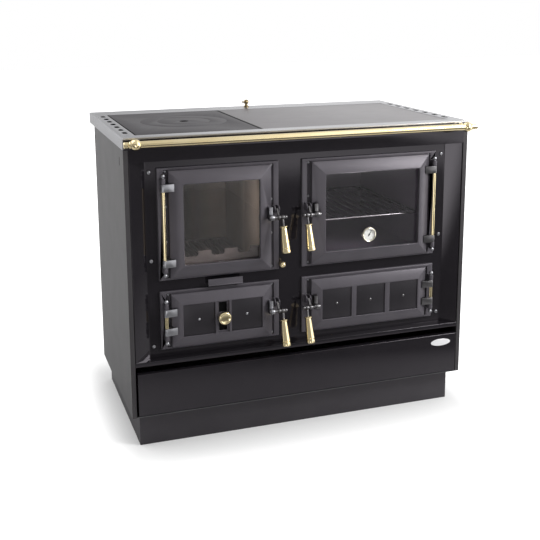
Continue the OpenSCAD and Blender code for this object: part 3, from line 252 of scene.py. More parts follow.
door_iron = finish("Door iron", cast_grain,
    {"Grain scale": 1100.0, "Depth": 0.00016, "Roughness": 0.4, "Spread": 0.1,
     "Colour": (0.05, 0.046, 0.0535), "Patch colour": (0.058, 0.0535, 0.0615)},
    Specular_Tint=VIOLET)
tile_enamel = finish("Tile enamel", cast_grain,
    {"Grain scale": 60.0, "Depth": 0.00003, "Roughness": 0.3, "Spread": 0.05,
     "Colour": (0.012, 0.011, 0.0128), "Patch colour": (0.0145, 0.0134, 0.0154)},
    Specular_Tint=VIOLET)

# %% [markdown]
# ## Iron, brick and sheet inside
# What the fire touches is rough and browned. The left hob plate is blackened iron,
# duller than the ground steel one beside it. The oven's lining is smooth grey enamel.

# %% Inner finishes
inner_iron = finish("Inner iron", cast_grain,
    {"Grain scale": 500.0, "Depth": 0.0004, "Roughness": 0.75, "Spread": 0.15,
     "Colour": (0.06, 0.052, 0.052), "Patch colour": (0.08, 0.068, 0.064)})
hob_iron = finish("Hob iron", cast_grain,
    {"Grain scale": 900.0, "Depth": 0.00012, "Roughness": 0.5, "Spread": 0.14,
     "Colour": (0.02, 0.019, 0.021), "Patch colour": (0.028, 0.026, 0.029)},
    Specular_Tint=VIOLET)
inner_sheet = finish("Inner sheet", cast_grain,
    {"Grain scale": 400.0, "Depth": 0.00003, "Roughness": 0.42, "Spread": 0.2,
     "Colour": (0.1, 0.1, 0.105), "Patch colour": (0.13, 0.13, 0.135)}, Metallic=0.6)
oven_enamel = finish("Oven enamel", cast_grain,
    {"Grain scale": 60.0, "Depth": 0.0, "Roughness": 0.5, "Spread": 0.1,
     "Colour": (0.24, 0.215, 0.25), "Patch colour": (0.25, 0.225, 0.26)})
# A flat black with no gloss; on the cups under the air slots it is painted shade.
flat_black = finish("Flat black", cast_grain,
    {"Grain scale": 500.0, "Depth": 0.0001, "Roughness": 0.8, "Spread": 0.1,
     "Colour": (0.006, 0.006, 0.006), "Patch colour": (0.009, 0.009, 0.009)},
    Specular_IOR_Level=0.0)
firebrick = finish("Fire brick", cast_grain,
    {"Grain scale": 300.0, "Depth": 0.0004, "Roughness": 0.9, "Spread": 0.08,
     "Colour": (0.9, 0.78, 0.64), "Patch colour": (0.8, 0.68, 0.55)})

# %% [markdown]
# ## Bright metals
# Polished brass is nearly a mirror with a warm tint. The damper's knob is brass darkened
# to brown: painted shade. The hinge hardware is zinc plated, duller and greyer, and the
# latch levers are blackened steel; the right doors' hinge fittings get that darker steel
# too, as painted shade. The stainless frame is brushed along its length, and the
# thermometer's bezel is nickel, a little warmer than chrome.

# %% Bright finishes
stainless = finish("Brushed stainless", brushed,
    {"Roughness": 0.3, "Colour": (0.51, 0.51, 0.53), "Streak colour": (0.42, 0.42, 0.44)},
    Metallic=1.0)
hob_steel = finish("Ground steel", brushed,
    {"Along X": 12.0, "Along Y": 500.0, "Roughness": 0.4, "Spread": 0.12, "Depth": 0.00002,
     "Colour": (0.31, 0.295, 0.305), "Streak colour": (0.235, 0.225, 0.235)}, Metallic=1.0)
brass = finish("Polished brass", cast_grain,
    {"Grain scale": 120.0, "Depth": 0.00001, "Roughness": 0.13, "Spread": 0.06,
     "Colour": (0.88, 0.75, 0.47), "Patch colour": (0.84, 0.7, 0.41)}, Metallic=1.0)
# Brass darkened as painted shade for the damper's knob.
shaded_brass = finish("Shaded brass", cast_grain,
    {"Grain scale": 120.0, "Depth": 0.00001, "Roughness": 0.34, "Spread": 0.1,
     "Colour": (0.27, 0.21, 0.11), "Patch colour": (0.2, 0.15, 0.08)}, Metallic=1.0)
hinge_steel = finish("Plated steel", cast_grain,
    {"Grain scale": 600.0, "Depth": 0.00006, "Roughness": 0.34, "Spread": 0.12,
     "Colour": (0.36, 0.36, 0.38), "Patch colour": (0.3, 0.3, 0.32)}, Metallic=1.0)
# Blackened steel for the latches; on the right doors' plated fittings it is painted shade.
dark_steel_and_shade = finish("Blackened steel and shade", cast_grain,
    {"Grain scale": 600.0, "Depth": 0.00006, "Roughness": 0.3, "Spread": 0.12,
     "Colour": (0.2, 0.195, 0.2), "Patch colour": (0.15, 0.145, 0.15)}, Metallic=1.0)
chrome = finish("Bright chrome", cast_grain,
    {"Grain scale": 100.0, "Depth": 0.00001, "Roughness": 0.12, "Spread": 0.05,
     "Colour": (0.88, 0.87, 0.84), "Patch colour": (0.84, 0.83, 0.8)}, Metallic=1.0)
bezel = finish("Bezel", cast_grain,
    {"Grain scale": 100.0, "Depth": 0.00001, "Roughness": 0.22, "Spread": 0.05,
     "Colour": (0.8, 0.76, 0.64), "Patch colour": (0.74, 0.7, 0.58)}, Metallic=1.0)

# %% [markdown]
# ## Dial, rope and oval plate
# The dial is printed white card, the seals are twisted glass rope, and the small oval
# plate on the drawer is white enamel on steel. The rope's strands are the brushed pattern
# again, with its lines much wider and deeper.

# %% Dial, rope and plate finishes
dial_white = finish("Dial white", cast_grain,
    {"Grain scale": 300.0, "Depth": 0.00001, "Roughness": 0.35, "Spread": 0.05,
     "Colour": (0.55, 0.55, 0.53), "Patch colour": (0.52, 0.52, 0.5)})
dial_black = finish("Dial black", cast_grain,
    {"Grain scale": 300.0, "Depth": 0.00001, "Roughness": 0.4, "Spread": 0.05,
     "Colour": (0.02, 0.02, 0.02), "Patch colour": (0.025, 0.025, 0.025)})
plate_enamel = finish("White enamel", cast_grain,
    {"Grain scale": 90.0, "Depth": 0.00002, "Roughness": 0.12, "Spread": 0.04,
     "Colour": (0.66, 0.66, 0.67), "Patch colour": (0.62, 0.62, 0.63)})
seal_rope = finish("Glass rope", brushed,
    {"Along X": 240.0, "Along Y": 900.0, "Roughness": 0.85, "Spread": 0.1, "Depth": 0.0004,
     "Colour": (0.62, 0.6, 0.56), "Streak colour": (0.34, 0.33, 0.31)})

# %% [markdown]
# ## Glass
# The panes are ceramic glass, faintly brown over the fire and dark over the oven. A
# shader that bends light would leave the rooms behind the panes black and noisy, so a
# shadow ray meets a plain tint in place of the glass.

# %% The panes
CERAMIC_IOR = 1.45


def glass(name, tint, shade):
    material = bpy.data.materials.new(name)
    material.use_nodes = True
    tree = material.node_tree
    shader = tree.nodes["Principled BSDF"]
    shader.inputs["Base Color"].default_value = (*tint, 1.0)
    shader.inputs["Roughness"].default_value = 0.0
    shader.inputs["IOR"].default_value = CERAMIC_IOR
    shader.inputs["Transmission Weight"].default_value = 1.0
    clear = add_node(tree, "ShaderNodeBsdfTransparent", {"Color": (*shade, 1.0)})
    path = add_node(tree, "ShaderNodeLightPath")
    mix = add_node(tree, "ShaderNodeMixShader",
        {0: path.outputs["Is Shadow Ray"], 1: shader.outputs["BSDF"], 2: clear.outputs["BSDF"]})
    tree.links.new(mix.outputs["Shader"], tree.nodes["Material Output"].inputs["Surface"])
    print("glass", name)
    return material


fire_glass = glass("Fire glass", (1.0, 0.95, 0.94), (1.0, 0.97, 0.96))
oven_glass = glass("Oven glass", (0.62, 0.6, 0.63), (0.6, 0.58, 0.6))
dial_glass = glass("Dial glass", (0.98, 0.98, 0.98), (0.97, 0.97, 0.97))

# %% [markdown]
# ## Shades that follow a place
# Some darkening doesn't follow a noise. It is strong in one place of the cooker and
# fades towards another; below it is mostly painted shade. A Map Range node turns a
# coordinate into such a fade, and the fades of a finish are multiplied into its colour
# and its gloss.

# %% A fade, and fades over a finish
def ramp(tree, value, start, end, low=0.0, high=1.0):
    node = add_node(tree, "ShaderNodeMapRange", {"Value": value, "From Min": start,
        "From Max": end, "To Min": low, "To Max": high}, interpolation_type="SMOOTHSTEP")
    return node.outputs["Result"]


PLAIN_GLOSS = 0.5  # the Principled shader's own Specular IOR Level


def shade_over(material, *shades):
    tree = material.node_tree
    shader = tree.nodes["Principled BSDF"]
    base, level = shader.inputs["Base Color"], shader.inputs["Specular IOR Level"]
    place = add_node(tree, "ShaderNodeTexCoord").outputs["Object"]
    part = add_node(tree, "ShaderNodeSeparateXYZ", {"Vector": place}).outputs
    share = 1.0
    for axis, start, end, low, high in shades:
        share = calculate(tree, "MULTIPLY", ramp(tree, part[axis], start, end, low, high), share)
    tree.links.new(blend_colours(tree, share, BLACK, base.links[0].from_socket), base)
    tree.links.new(calculate(tree, "MULTIPLY", share, PLAIN_GLOSS), level)
    print("shaded", material.name, "with", len(shades), "fades")

# %% [markdown]
# ## Painted shade in the firebox, the oven and the hob joints
# The bricks are darkened on the left and towards the back, away from the door: painted
# shade and light, so that the right wall shows bright near the glass. The oven shelf's
# wires are darkened behind the front one, which stays bright. The hob plates are
# darkened in their joints, just below their top and along their margins: painted shade
# of the joints. Each fade is an axis, where it starts and ends, and the light that is
# left at both ends.

# %% Bricks, shelf and hob joints
# Painted shade and light: the bricks darken to the left and towards the back, so the right wall
# shows bright near the glass.
shade_over(firebrick, ("X", -0.26, -0.1, 0.06, 1.0), ("Y", 0.02, -0.16, 0.35, 1.0))

# The wires behind the front one are darkened, and the front wire stays bright.
FRONT_WIRE, WIRE_GAP = 8 * MM, 4 * MM
shelf_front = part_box("oven_shelf")[0].y + FRONT_WIRE
shelf_chrome = chrome.copy()
shelf_chrome.name = "Shelf chrome"
shade_over(shelf_chrome, ("Y", shelf_front, shelf_front + WIRE_GAP, 1.0, 0.12))

# Painted shade of the hob joints: the plates' walls below the top, the lid's hole and a margin
# along the plates' joined and framed edges are darkened.
SHADE_MARGIN, WIDE_SHADE_MARGIN, SHADE_FADE = 3.5 * MM, 4.0 * MM, 0.7 * MM
SHADED_EDGE, SHADED_WALL, UNSHADED_TOP = 0.05, 0.03, 0.1 * MM
left_low, left_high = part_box("hob_plate_left")
right_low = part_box("hob_plate_right")[0]
shade_below_top = ("Z", left_high.z - SHADE_FADE, left_high.z - UNSHADED_TOP, SHADED_WALL, 1.0)


def margin(axis, edge, width, inward=1):
    start = edge + inward * width
    return axis, start, start + inward * SHADE_FADE, SHADED_EDGE, 1.0


shade_over(hob_iron, shade_below_top, margin("X", left_high.x, SHADE_MARGIN, -1),
    margin("X", left_low.x, SHADE_MARGIN), margin("Y", left_low.y, WIDE_SHADE_MARGIN))
shade_over(hob_steel, shade_below_top, margin("X", right_low.x, WIDE_SHADE_MARGIN))

# %% [markdown]
# ## Which node gets which finish
# A table of finishes, each with the nodes it is for, keeps the choice in one place.

# %% Paint the nodes
painted = {
    black_enamel: ["top_fascia", "lower_ledge", "front_plate", "drawer_front",
        "ash_door_panels", "store_door_panels"],
    side_enamel: ["side_panel_left", "side_panel_right"],
    plinth_paint: ["plinth"],
    door_iron: ["fire_door_frame", "oven_door_frame", "ash_door_frame", "store_door_frame",
        "fire_door", "oven_door", "ash_door", "store_door", "air_slider", "flue_collar"],
    inner_iron: ["firebox", "fire_grate"],
    hob_iron: ["hob_plate_left", "hob_ring", "hob_lid"],
    hob_steel: ["hob_plate_right"],
    inner_sheet: ["base_plate", "back_panel", "storage_drawer", "ash_pan", "drawer_runners"],
    oven_enamel: ["oven_box", "store_box"],
    firebrick: ["firebricks"],
    stainless: ["top_frame"],
    brass: ["rail_tube", "rail_brackets", "hinge_sleeves", "fire_grip", "oven_grip",
        "ash_grip", "store_grip", "air_valve", "pull_knob"],
    shaded_brass: ["damper_knob"],
    hinge_steel: ["front_screws", "hinge_pins", "fire_door_fittings", "ash_door_fittings"],
    # The right doors' fittings are plated like the left ones; the darker steel on them is painted
    # shade.
    dark_steel_and_shade: ["oven_door_fittings", "store_door_fittings", "fire_latch", "oven_latch",
        "ash_latch", "store_latch", "damper_flap"],
    shelf_chrome: ["oven_shelf"],
    chrome: ["thermometer"],
    dial_black: ["thermometer_pointer"],
    fire_glass: ["fire_door_glass"],
    oven_glass: ["oven_door_glass"],
}


def paint(obj, material):
    obj.data.materials.clear()
    obj.data.materials.append(material)


for material, names in painted.items():
    for name in names:
        paint(nodes[name], material)
left_over = set(nodes) - {name for names in painted.values() for name in names}
print("nodes without a finish:", sorted(left_over))

# %% [markdown]
# ## Rounded edges
# No real casting or folded sheet has a knife edge, and the thin bright lines on the
# doors and the ledge are light on small radii. The node's own mesh stays as it is. A
# copy is merged, its flat faces are joined, and a Bevel modifier rounds each edge that
# is sharper than a limit. Harden Normals keeps the flat faces looking flat. The two hob
# plates are also drawn in at their sides, which opens the joint between them.

# %% Rounded copies of cast and folded nodes
JOINT = 1.5 * MM
ON_EDGE = 0.01 * MM
FLAT_WITHIN = math.radians(0.3)
ROUNDED_OVER = math.radians(28)
ROUND_SEGMENTS = 3


def open_joint(bm, node):
    low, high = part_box(node)
    for vert in bm.verts:
        for axis in range(2):
            if vert.co[axis] < low[axis] + ON_EDGE:
                vert.co[axis] += JOINT
            elif vert.co[axis] > high[axis] - ON_EDGE:
                vert.co[axis] -= JOINT


def rounded_copy(node, radius, clamped):
    mesh = nodes[node].data.copy()
    piece = bpy.data.objects.new(node + "_rounded", mesh)
    bpy.context.scene.collection.objects.link(piece)
    bm = bmesh.new()
    bm.from_mesh(mesh)
    bmesh.ops.remove_doubles(bm, verts=bm.verts, dist=MERGE)
    bmesh.ops.dissolve_limit(bm, angle_limit=FLAT_WITHIN, verts=bm.verts, edges=bm.edges)
    if node in ("hob_plate_left", "hob_plate_right"):
        open_joint(bm, node)
    for face in bm.faces:
        face.smooth = True
    bm.to_mesh(mesh)
    bm.free()
    rounding = piece.modifiers.new("rounded edges", "BEVEL")
    rounding.width = radius
    rounding.segments = ROUND_SEGMENTS
    rounding.limit_method = "ANGLE"
    rounding.angle_limit = ROUNDED_OVER
    rounding.harden_normals = True
    rounding.use_clamp_overlap = clamped
    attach(piece, body_of[node])
    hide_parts(node)

# %% [markdown]
# ## Radii
# A casting has larger radii than a folded sheet, and the hob plates have next to none.
# The doors' lips and borders meet in many short edges, so their bevel isn't clamped.
# Everything else is, which keeps a bevel from running over its neighbour.

# %% Round them
cast_radii = {
    1.4: ["fire_door", "oven_door"],
    1.2: ["ash_door", "store_door"],
    0.8: ["fire_door_frame", "oven_door_frame", "ash_door_frame", "store_door_frame"],
}
sheet_radii = {
    1.2: ["drawer_front"],
    1.0: ["plinth", "fire_grate", "lower_ledge"],
    0.8: ["top_fascia", "top_frame", "firebricks"],
    0.6: ["hob_plate_right", "air_slider", "flue_collar"],
    0.5: ["fire_door_fittings", "oven_door_fittings", "ash_door_fittings",
        "store_door_fittings", "fire_latch", "oven_latch", "ash_latch", "store_latch"],
    0.15: ["hob_plate_left", "hob_ring", "hob_lid"],
}
for clamped, radii in ((False, cast_radii), (True, sheet_radii)):
    for radius, names in radii.items():
        for name in names:
            rounded_copy(name, radius * MM, clamped)
print("rounded", sum(map(len, [*cast_radii.values(), *sheet_radii.values()])), "nodes")

# %% [markdown]
# ## From a bmesh to a piece
# Every new piece ends in the same way: its mesh becomes an object, with a finish and the
# body that it rides on. Edges sharper than a limit stay sharp and the rest is shaded
# smooth. A piece may hold many copies of one shape, so a second function adds a mesh to
# a bmesh at a given place.

# %% Finish a piece, and copy a shape
SHARP_OVER = math.radians(35)


def mesh_of(bm, name):
    mesh = bpy.data.meshes.new(name)
    bm.to_mesh(mesh)
    bm.free()
    return mesh


def make_piece(bm, name, body, material, slot, *stands_for):
    for face in bm.faces:
        face.smooth = True
    mesh = mesh_of(bm, name)
    mesh.set_sharp_from_angle(angle=SHARP_OVER)
    piece = bpy.data.objects.new(name, mesh)
    bpy.context.scene.collection.objects.link(piece)
    paint(piece, material)
    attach(piece, body)
    if stands_for:
        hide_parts(*stands_for)
    print(name, "has", len(mesh.polygons), "faces")


def add_copy(bm, mesh, place):
    placed = mesh.copy()
    placed.transform(place)
    bm.from_mesh(placed)
    bpy.data.meshes.remove(placed)

# %% [markdown]
# ## Blocks, rounding and drawn sheets
# Three shapes come back again and again. A block is a cube brought to its size and
# place. Rounding is a bevel over some edges. A sheet is a line that is drawn along one
# direction, as a folded strip of steel is long in one direction.

# %% Block, round, draw
def add_block(bm, size, middle):
    made = bmesh.ops.create_cube(bm, size=1.0)["verts"]
    bmesh.ops.scale(bm, verts=made, vec=size)
    bmesh.ops.translate(bm, verts=made, vec=middle)
    return made


def round_edges(bm, edges, radius, segments=4):
    bmesh.ops.bevel(bm, geom=edges, offset=radius, segments=segments, profile=0.5,
        affect="EDGES", material=-1)


def only(kind, items):
    return [item for item in items if isinstance(item, kind)]


def draw_out(bm, edges, way):
    drawn = bmesh.ops.extrude_edge_only(bm, edges=edges)["geom"]
    bmesh.ops.translate(bm, verts=only(bmesh.types.BMVert, drawn), vec=way)
    return drawn


def line_of(bm, points):
    verts = [bm.verts.new(point) for point in points]
    return verts, [bm.edges.new(ends) for ends in zip(verts, verts[1:])]


def thicken(bm, thickness):
    bmesh.ops.recalc_face_normals(bm, faces=bm.faces)
    bmesh.ops.solidify(bm, geom=bm.faces[:], thickness=thickness)

# %% [markdown]
# ## Turned pieces
# A screw, a knob and a dial case are all made on a lathe: one line turned about an axis.
# In bmesh that is a few vertices joined by edges and a full spin, which merges its last
# step with its first. Points on the axis become one after the doubles are removed. The
# axis runs along Y, and a point is its radius and how far it stands out to the front.

# %% A lathe
def turned(profile, steps=48):
    bm = bmesh.new()
    verts, edges = line_of(bm, [(radius * MM, -height * MM, 0.0) for radius, height in profile])
    bmesh.ops.spin(bm, geom=verts + edges, cent=(0, 0, 0), axis=(0, 1, 0), dvec=(0, 0, 0),
        angle=math.tau, steps=steps, use_merge=True)
    bmesh.ops.remove_doubles(bm, verts=bm.verts, dist=MERGE)
    bmesh.ops.recalc_face_normals(bm, faces=bm.faces)
    return bm

# %% [markdown]
# ## Where the screws are
# The door frames and the front plate are held by dome headed screws with a hexagon
# socket. The construction has their plain domes as loose solids of one node, so each
# place is read from there: vertices that hang together by edges are one screw.

# %% Find the screws
def loose_parts(node):
    bm = bmesh.new()
    bm.from_mesh(nodes[node].data)
    bmesh.ops.remove_doubles(bm, verts=bm.verts, dist=MERGE)
    seen, boxes = set(), []
    for first in bm.verts:
        if first in seen:
            continue
        seen.add(first)
        waiting, part = [first], []
        while waiting:
            vert = waiting.pop()
            part.append(vert.co.copy())
            for edge in vert.link_edges:
                other = edge.other_vert(vert)
                if other not in seen:
                    seen.add(other)
                    waiting.append(other)
        low = Vector(min(co[axis] for co in part) for axis in range(3))
        high = Vector(max(co[axis] for co in part) for axis in range(3))
        boxes.append((low, high))
    bm.free()
    return boxes


screw_boxes = loose_parts("front_screws")
print("screws", len(screw_boxes))

# %% [markdown]
# ## Socket screws
# One head is turned for a screw of radius and height 1, and every place gets it at that
# screw's own size. The dome has a flat hole in the middle, whose rings are then pulled
# to a hexagon: its flats lie closer in than its corners.

# %% Turn one head and set it at each place
SOCKET_SHARE, SOCKET_FLOOR = 0.42, 0.35
HEAD_STEPS = 36
SIXTH = math.tau / 6


def hexagon_share(angle):
    return math.cos(SIXTH / 2) / math.cos(angle % SIXTH - SIXTH / 2)


def socket_head():
    bm = turned([(0, SOCKET_FLOOR), (SOCKET_SHARE, SOCKET_FLOOR), (SOCKET_SHARE, 0.95),
        (0.52, 1.0), (0.72, 0.9), (0.88, 0.66), (0.97, 0.34), (1.0, 0.0), (0.0, 0.0)],
        steps=HEAD_STEPS)
    for vert in bm.verts:
        radius = math.hypot(vert.co.x, vert.co.z)
        if 0.1 * MM < radius < (SOCKET_SHARE + 0.02) * MM and vert.co.y < -0.1 * MM:
            share = hexagon_share(math.atan2(vert.co.z, vert.co.x))
            vert.co.x *= share
            vert.co.z *= share
    return mesh_of(bm, "screw head")


def make_screws():
    head = socket_head()
    bm = bmesh.new()
    for low, high in screw_boxes:
        middle = (low + high) / 2
        radius = (high.x - low.x) / 2 / MM
        height = (high.y - low.y) / MM
        place = Matrix.Translation((middle.x, high.y, middle.z))
        add_copy(bm, head, place @ Matrix.Diagonal((radius, height, radius, 1.0)))
    make_piece(bm, "front_screws_socketed", body_of["front_screws"], hinge_steel,
        slot_of["front_screws"], "front_screws")


make_screws()

# %% [markdown]
# ## Enamelled tiles
# The lower doors have small enamelled tiles behind their bars. Enamel runs thick over an
# edge, so a tile is a block with well rounded edges. Each loose part of the node gives
# one tile its place and size.

# %% Tiles
TILE_ROUND = 1.1 * MM


def make_tiles(node):
    bm = bmesh.new()
    for low, high in loose_parts(node):
        add_block(bm, high - low, (low + high) / 2)
    round_edges(bm, bm.edges[:], TILE_ROUND)
    make_piece(bm, node + "_tiles", body_of[node], tile_enamel, slot_of[node], node)


make_tiles("ash_door_panels")
make_tiles("store_door_panels")

# %% [markdown]
# ## The air valve
# The round knob on the ash door is turned brass with a dished face. Behind the door's
# web it carries a dark iron bar that covers the air holes. The construction has both in
# one node, so two pieces stand for it, each with its own metal.

# %% Knob and bar
KNOB_HEIGHT = 16.5 * MM
BAR_T, BAR_SHORTER, BAR_ROUND = 3 * MM, 10 * MM, 0.8 * MM
valve_low, valve_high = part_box("air_valve")
valve_middle = (valve_low + valve_high) / 2
valve_body, valve_slot = body_of["air_valve"], slot_of["air_valve"]


def make_valve_knob():
    bm = turned([(0, 0), (8, 0), (9, 4), (15.5, 5.2), (17.4, 6.2), (18, 8), (18, 12),
        (17.5, 14), (16.4, 15.6), (15, 16.4), (13.4, 16.4), (12.2, 15.6), (10.5, 15.1), (0, 14.6)])
    bmesh.ops.translate(bm, verts=bm.verts,
        vec=(valve_middle.x, valve_low.y + KNOB_HEIGHT, valve_middle.z))
    make_piece(bm, "air_valve_knob", valve_body, brass, valve_slot, "air_valve")


def make_valve_bar():
    bm = bmesh.new()
    low, high, middle = valve_low, valve_high, valve_middle
    add_block(bm, (high.x - low.x - BAR_SHORTER, BAR_T, high.z - low.z),
        (middle.x, high.y - BAR_T / 2, middle.z))
    round_edges(bm, bm.edges[:], BAR_ROUND, segments=2)
    spindle = mesh_of(turned([(0, 0), (4, 0), (4, 16), (0, 16)], steps=24), "spindle")
    add_copy(bm, spindle, Matrix.Translation((middle.x, high.y - BAR_T, middle.z)))
    make_piece(bm, "air_valve_bar", valve_body, flat_black, valve_slot, "air_valve")


make_valve_knob()
make_valve_bar()

# %% [markdown]
# ## The oven thermometer
# It is a plain bimetal gauge: a bright turned case through the glass, a white card and a
# cover glass. All three are lathe work, so they share the radii of the case's rim.

# %% Case and cover glass
dial_low, dial_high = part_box("thermometer")
dial_middle = (dial_low + dial_high) / 2
DIAL_OUT = (dial_high.x - dial_low.x) / 2 / MM
DIAL_IN = DIAL_OUT - 4
CASE_HEIGHT = 8
case_base = dial_low.y + CASE_HEIGHT * MM
dial_body, dial_slot = body_of["thermometer"], slot_of["thermometer"]


def at_dial(bm, height=0.0):
    bmesh.ops.translate(bm, verts=bm.verts,
        vec=(dial_middle.x, case_base - height * MM, dial_middle.z))
    return bm


stem = (case_base - dial_high.y) / MM
case = turned([(0, stem), (DIAL_IN, stem), (DIAL_IN, 0), (DIAL_OUT, 0), (DIAL_OUT, 4.6),
    (DIAL_OUT - 0.4, 6.4), (DIAL_OUT - 1.2, 7.5), (DIAL_OUT - 2.4, 8), (DIAL_OUT - 3.2, 7.7),
    (DIAL_IN, 6.9), (DIAL_IN, 3), (0, 3)])
make_piece(at_dial(case), "thermometer_case", dial_body, bezel, dial_slot, "thermometer")
cover = turned([(0, 6.2), (DIAL_IN - 0.1, 6.2), (DIAL_IN - 0.1, 6.7), (0, 6.9)])
make_piece(at_dial(cover), "thermometer_glass", dial_body, dial_glass, dial_slot)
card = turned([(0, 3.02), (DIAL_IN - 0.1, 3.02), (DIAL_IN - 0.1, 3.12), (0, 3.12)])
make_piece(at_dial(card), "thermometer_card", dial_body, dial_white, dial_slot)

# %% [markdown]
# ## The dial's scale
# Ticks are small bars set round a circle by a loop, long at every fifth and the last. The
# numbers are text that is made a mesh first and moved afterwards, so that nothing about
# its place stays behind in the object. All of it is one thin piece on the card.

# %% Ticks and numbers
SCALE_FROM, SCALE_TO, TICKS = -130, 130, 26
TICKS_PER_NUMBER, NUMBERS, NUMBER_STEP = 5, 6, 100
LONG_TICK, SHORT_TICK, TICK_T = (2.6, 0.6), (1.4, 0.3), 0.06
TICK_INSET, NUMBER_INSET, NUMBER_SIZE = 1, 5.6, 2.7
PRINT_T = 0.03 * MM
CARD_TOP = 3.14


def number_mesh(text, size):
    curve = bpy.data.curves.new("number", "FONT")
    curve.body = text
    curve.size = size
    curve.align_x, curve.align_y = "CENTER", "CENTER"
    curve.extrude = PRINT_T
    sign = bpy.data.objects.new("number", curve)
    bpy.context.scene.collection.objects.link(sign)
    bpy.context.view_layer.update()
    evaluated = sign.evaluated_get(bpy.context.evaluated_depsgraph_get())
    mesh = bpy.data.meshes.new_from_object(evaluated)
    bpy.data.objects.remove(sign)
    return mesh


def tick_turn(step):
    return math.radians(SCALE_FROM + (SCALE_TO - SCALE_FROM) * step / TICKS)


def make_scale():
    bm = bmesh.new()
    for step in range(TICKS + 1):
        long_one = step % TICKS_PER_NUMBER == 0 or step == TICKS
        length, width = LONG_TICK if long_one else SHORT_TICK
        made = add_block(bm, (width * MM, TICK_T * MM, length * MM),
            (0, 0, (DIAL_IN - TICK_INSET - length / 2) * MM))
        bmesh.ops.rotate(bm, verts=made, cent=(0, 0, 0),
            matrix=Matrix.Rotation(tick_turn(step), 3, "Y"))
    upright = Matrix.Rotation(math.radians(90), 4, "X")
    for index in range(NUMBERS):
        turn = tick_turn(index * TICKS_PER_NUMBER)
        spot = Vector((math.sin(turn), 0, math.cos(turn))) * (DIAL_IN - NUMBER_INSET) * MM
        number = number_mesh(str(index * NUMBER_STEP), NUMBER_SIZE * MM)
        add_copy(bm, number, Matrix.Translation(spot) @ upright)
    make_piece(at_dial(bm, CARD_TOP), "thermometer_scale", dial_body, dial_black, dial_slot)


make_scale()

# %% [markdown]
# ## The oval plate on the drawer
# A small domed plate of white enamel sits near the right end of the drawer's front. It
# is left blank. A circle is raised, stretched to an oval, and its rim is rounded.

# %% Blank oval plate
PLATE_X, PLATE_Z = 425 * MM, 195 * MM
PLATE_W, PLATE_H, PLATE_T, PLATE_ROUND = 64 * MM, 21 * MM, 1.6 * MM, 1.1 * MM
OVAL_STEPS = 64


def make_oval_plate():
    bm = bmesh.new()
    lie = Matrix.Rotation(math.radians(90), 4, "X")
    bmesh.ops.create_circle(bm, cap_ends=True, segments=OVAL_STEPS, radius=0.5, matrix=lie)
    raised = bmesh.ops.extrude_face_region(bm, geom=bm.faces[:])["geom"]
    top = only(bmesh.types.BMVert, raised)
    bmesh.ops.translate(bm, verts=top, vec=(0, -1, 0))
    bmesh.ops.scale(bm, verts=bm.verts, vec=(PLATE_W, PLATE_T, PLATE_H))
    rim = [edge for edge in bm.edges if all(vert in top for vert in edge.verts)]
    round_edges(bm, rim, PLATE_ROUND)
    bmesh.ops.recalc_face_normals(bm, faces=bm.faces)
    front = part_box("drawer_front")[0].y
    bmesh.ops.translate(bm, verts=bm.verts, vec=(PLATE_X, front, PLATE_Z))
    make_piece(bm, "drawer_plate", body_of["drawer_front"], plate_enamel, "dial_white")


make_oval_plate()

# %% [markdown]
# ## Sloping returns of the front
# The front plate lies deep in the casing. At each side a folded sheet slopes out from it
# to the casing's edge: a flange on the plate, the slope, and a short lip. Its section is
# a line of four points, drawn up to a sheet, with its folds rounded before it gets its
# thickness. A little play at the top and bottom keeps it clear of what it meets.

# %% Returns
FLANGE_FROM, FLANGE_TO, LIP = 431 * MM, 435 * MM, 8 * MM
RETURN_T, RETURN_FOLD = 0.8 * MM, 2.4 * MM
BEHIND_EDGE, INSIDE_PANEL, OFF_PLATE, PLAY = 1.5 * MM, 1.2 * MM, 0.1 * MM, 0.2 * MM


def return_mesh(side):
    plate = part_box("front_plate")[0].y - OFF_PLATE
    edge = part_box("side_panel_left")[0].y + BEHIND_EDGE
    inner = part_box("side_panel_right")[0].x - INSIDE_PANEL
    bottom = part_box("lower_ledge")[1].z + PLAY
    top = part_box("top_fascia")[0].z - PLAY
    bm = bmesh.new()
    section = [(FLANGE_FROM, plate), (FLANGE_TO, plate), (inner, edge), (inner, edge + LIP)]
    edges = line_of(bm, [(side * x, y, bottom) for x, y in section])[1]
    draw_out(bm, edges, (0, 0, top - bottom))
    round_edges(bm, [edge for edge in bm.edges if len(edge.link_faces) == 2], RETURN_FOLD)
    thicken(bm, RETURN_T)
    return mesh_of(bm, "return")


def make_returns():
    bm = bmesh.new()
    for side in (-1, 1):
        bm.from_mesh(return_mesh(side))
    make_piece(bm, "front_returns", body_of["front_plate"], black_enamel, slot_of["front_plate"])


make_returns()

# %% [markdown]
# ## Dark cups under the air slots
# Each slot in the hob frame has a deep cup of flat black under it: painted shade for the
# dark inside of the slot. A cup is a circle pulled apart to an oblong, which is the
# floor, with its rim drawn up to a wall. It is made once and copied to every slot.

# %% Cups of painted shade
SLOTS, FIRST_SLOT, SLOT_PITCH, SLOT_INSET = 7, 98 * MM, 59.7 * MM, 22.6 * MM
CUP_R, CUP_STRAIGHT, CUP_DEEP, CUP_T = 6.5 * MM, 8.5 * MM, 22 * MM, 0.6 * MM
CUP_BELOW_TOP, CUP_STEPS = 0.05 * MM, 32


def cup_mesh():
    bm = bmesh.new()
    floor = bmesh.ops.create_circle(bm, cap_ends=True, segments=CUP_STEPS, radius=CUP_R)
    for vert in floor["verts"]:
        vert.co.y += math.copysign(CUP_STRAIGHT, vert.co.y)
    draw_out(bm, bm.edges[:], (0, 0, CUP_DEEP))
    thicken(bm, CUP_T)
    return mesh_of(bm, "cup")


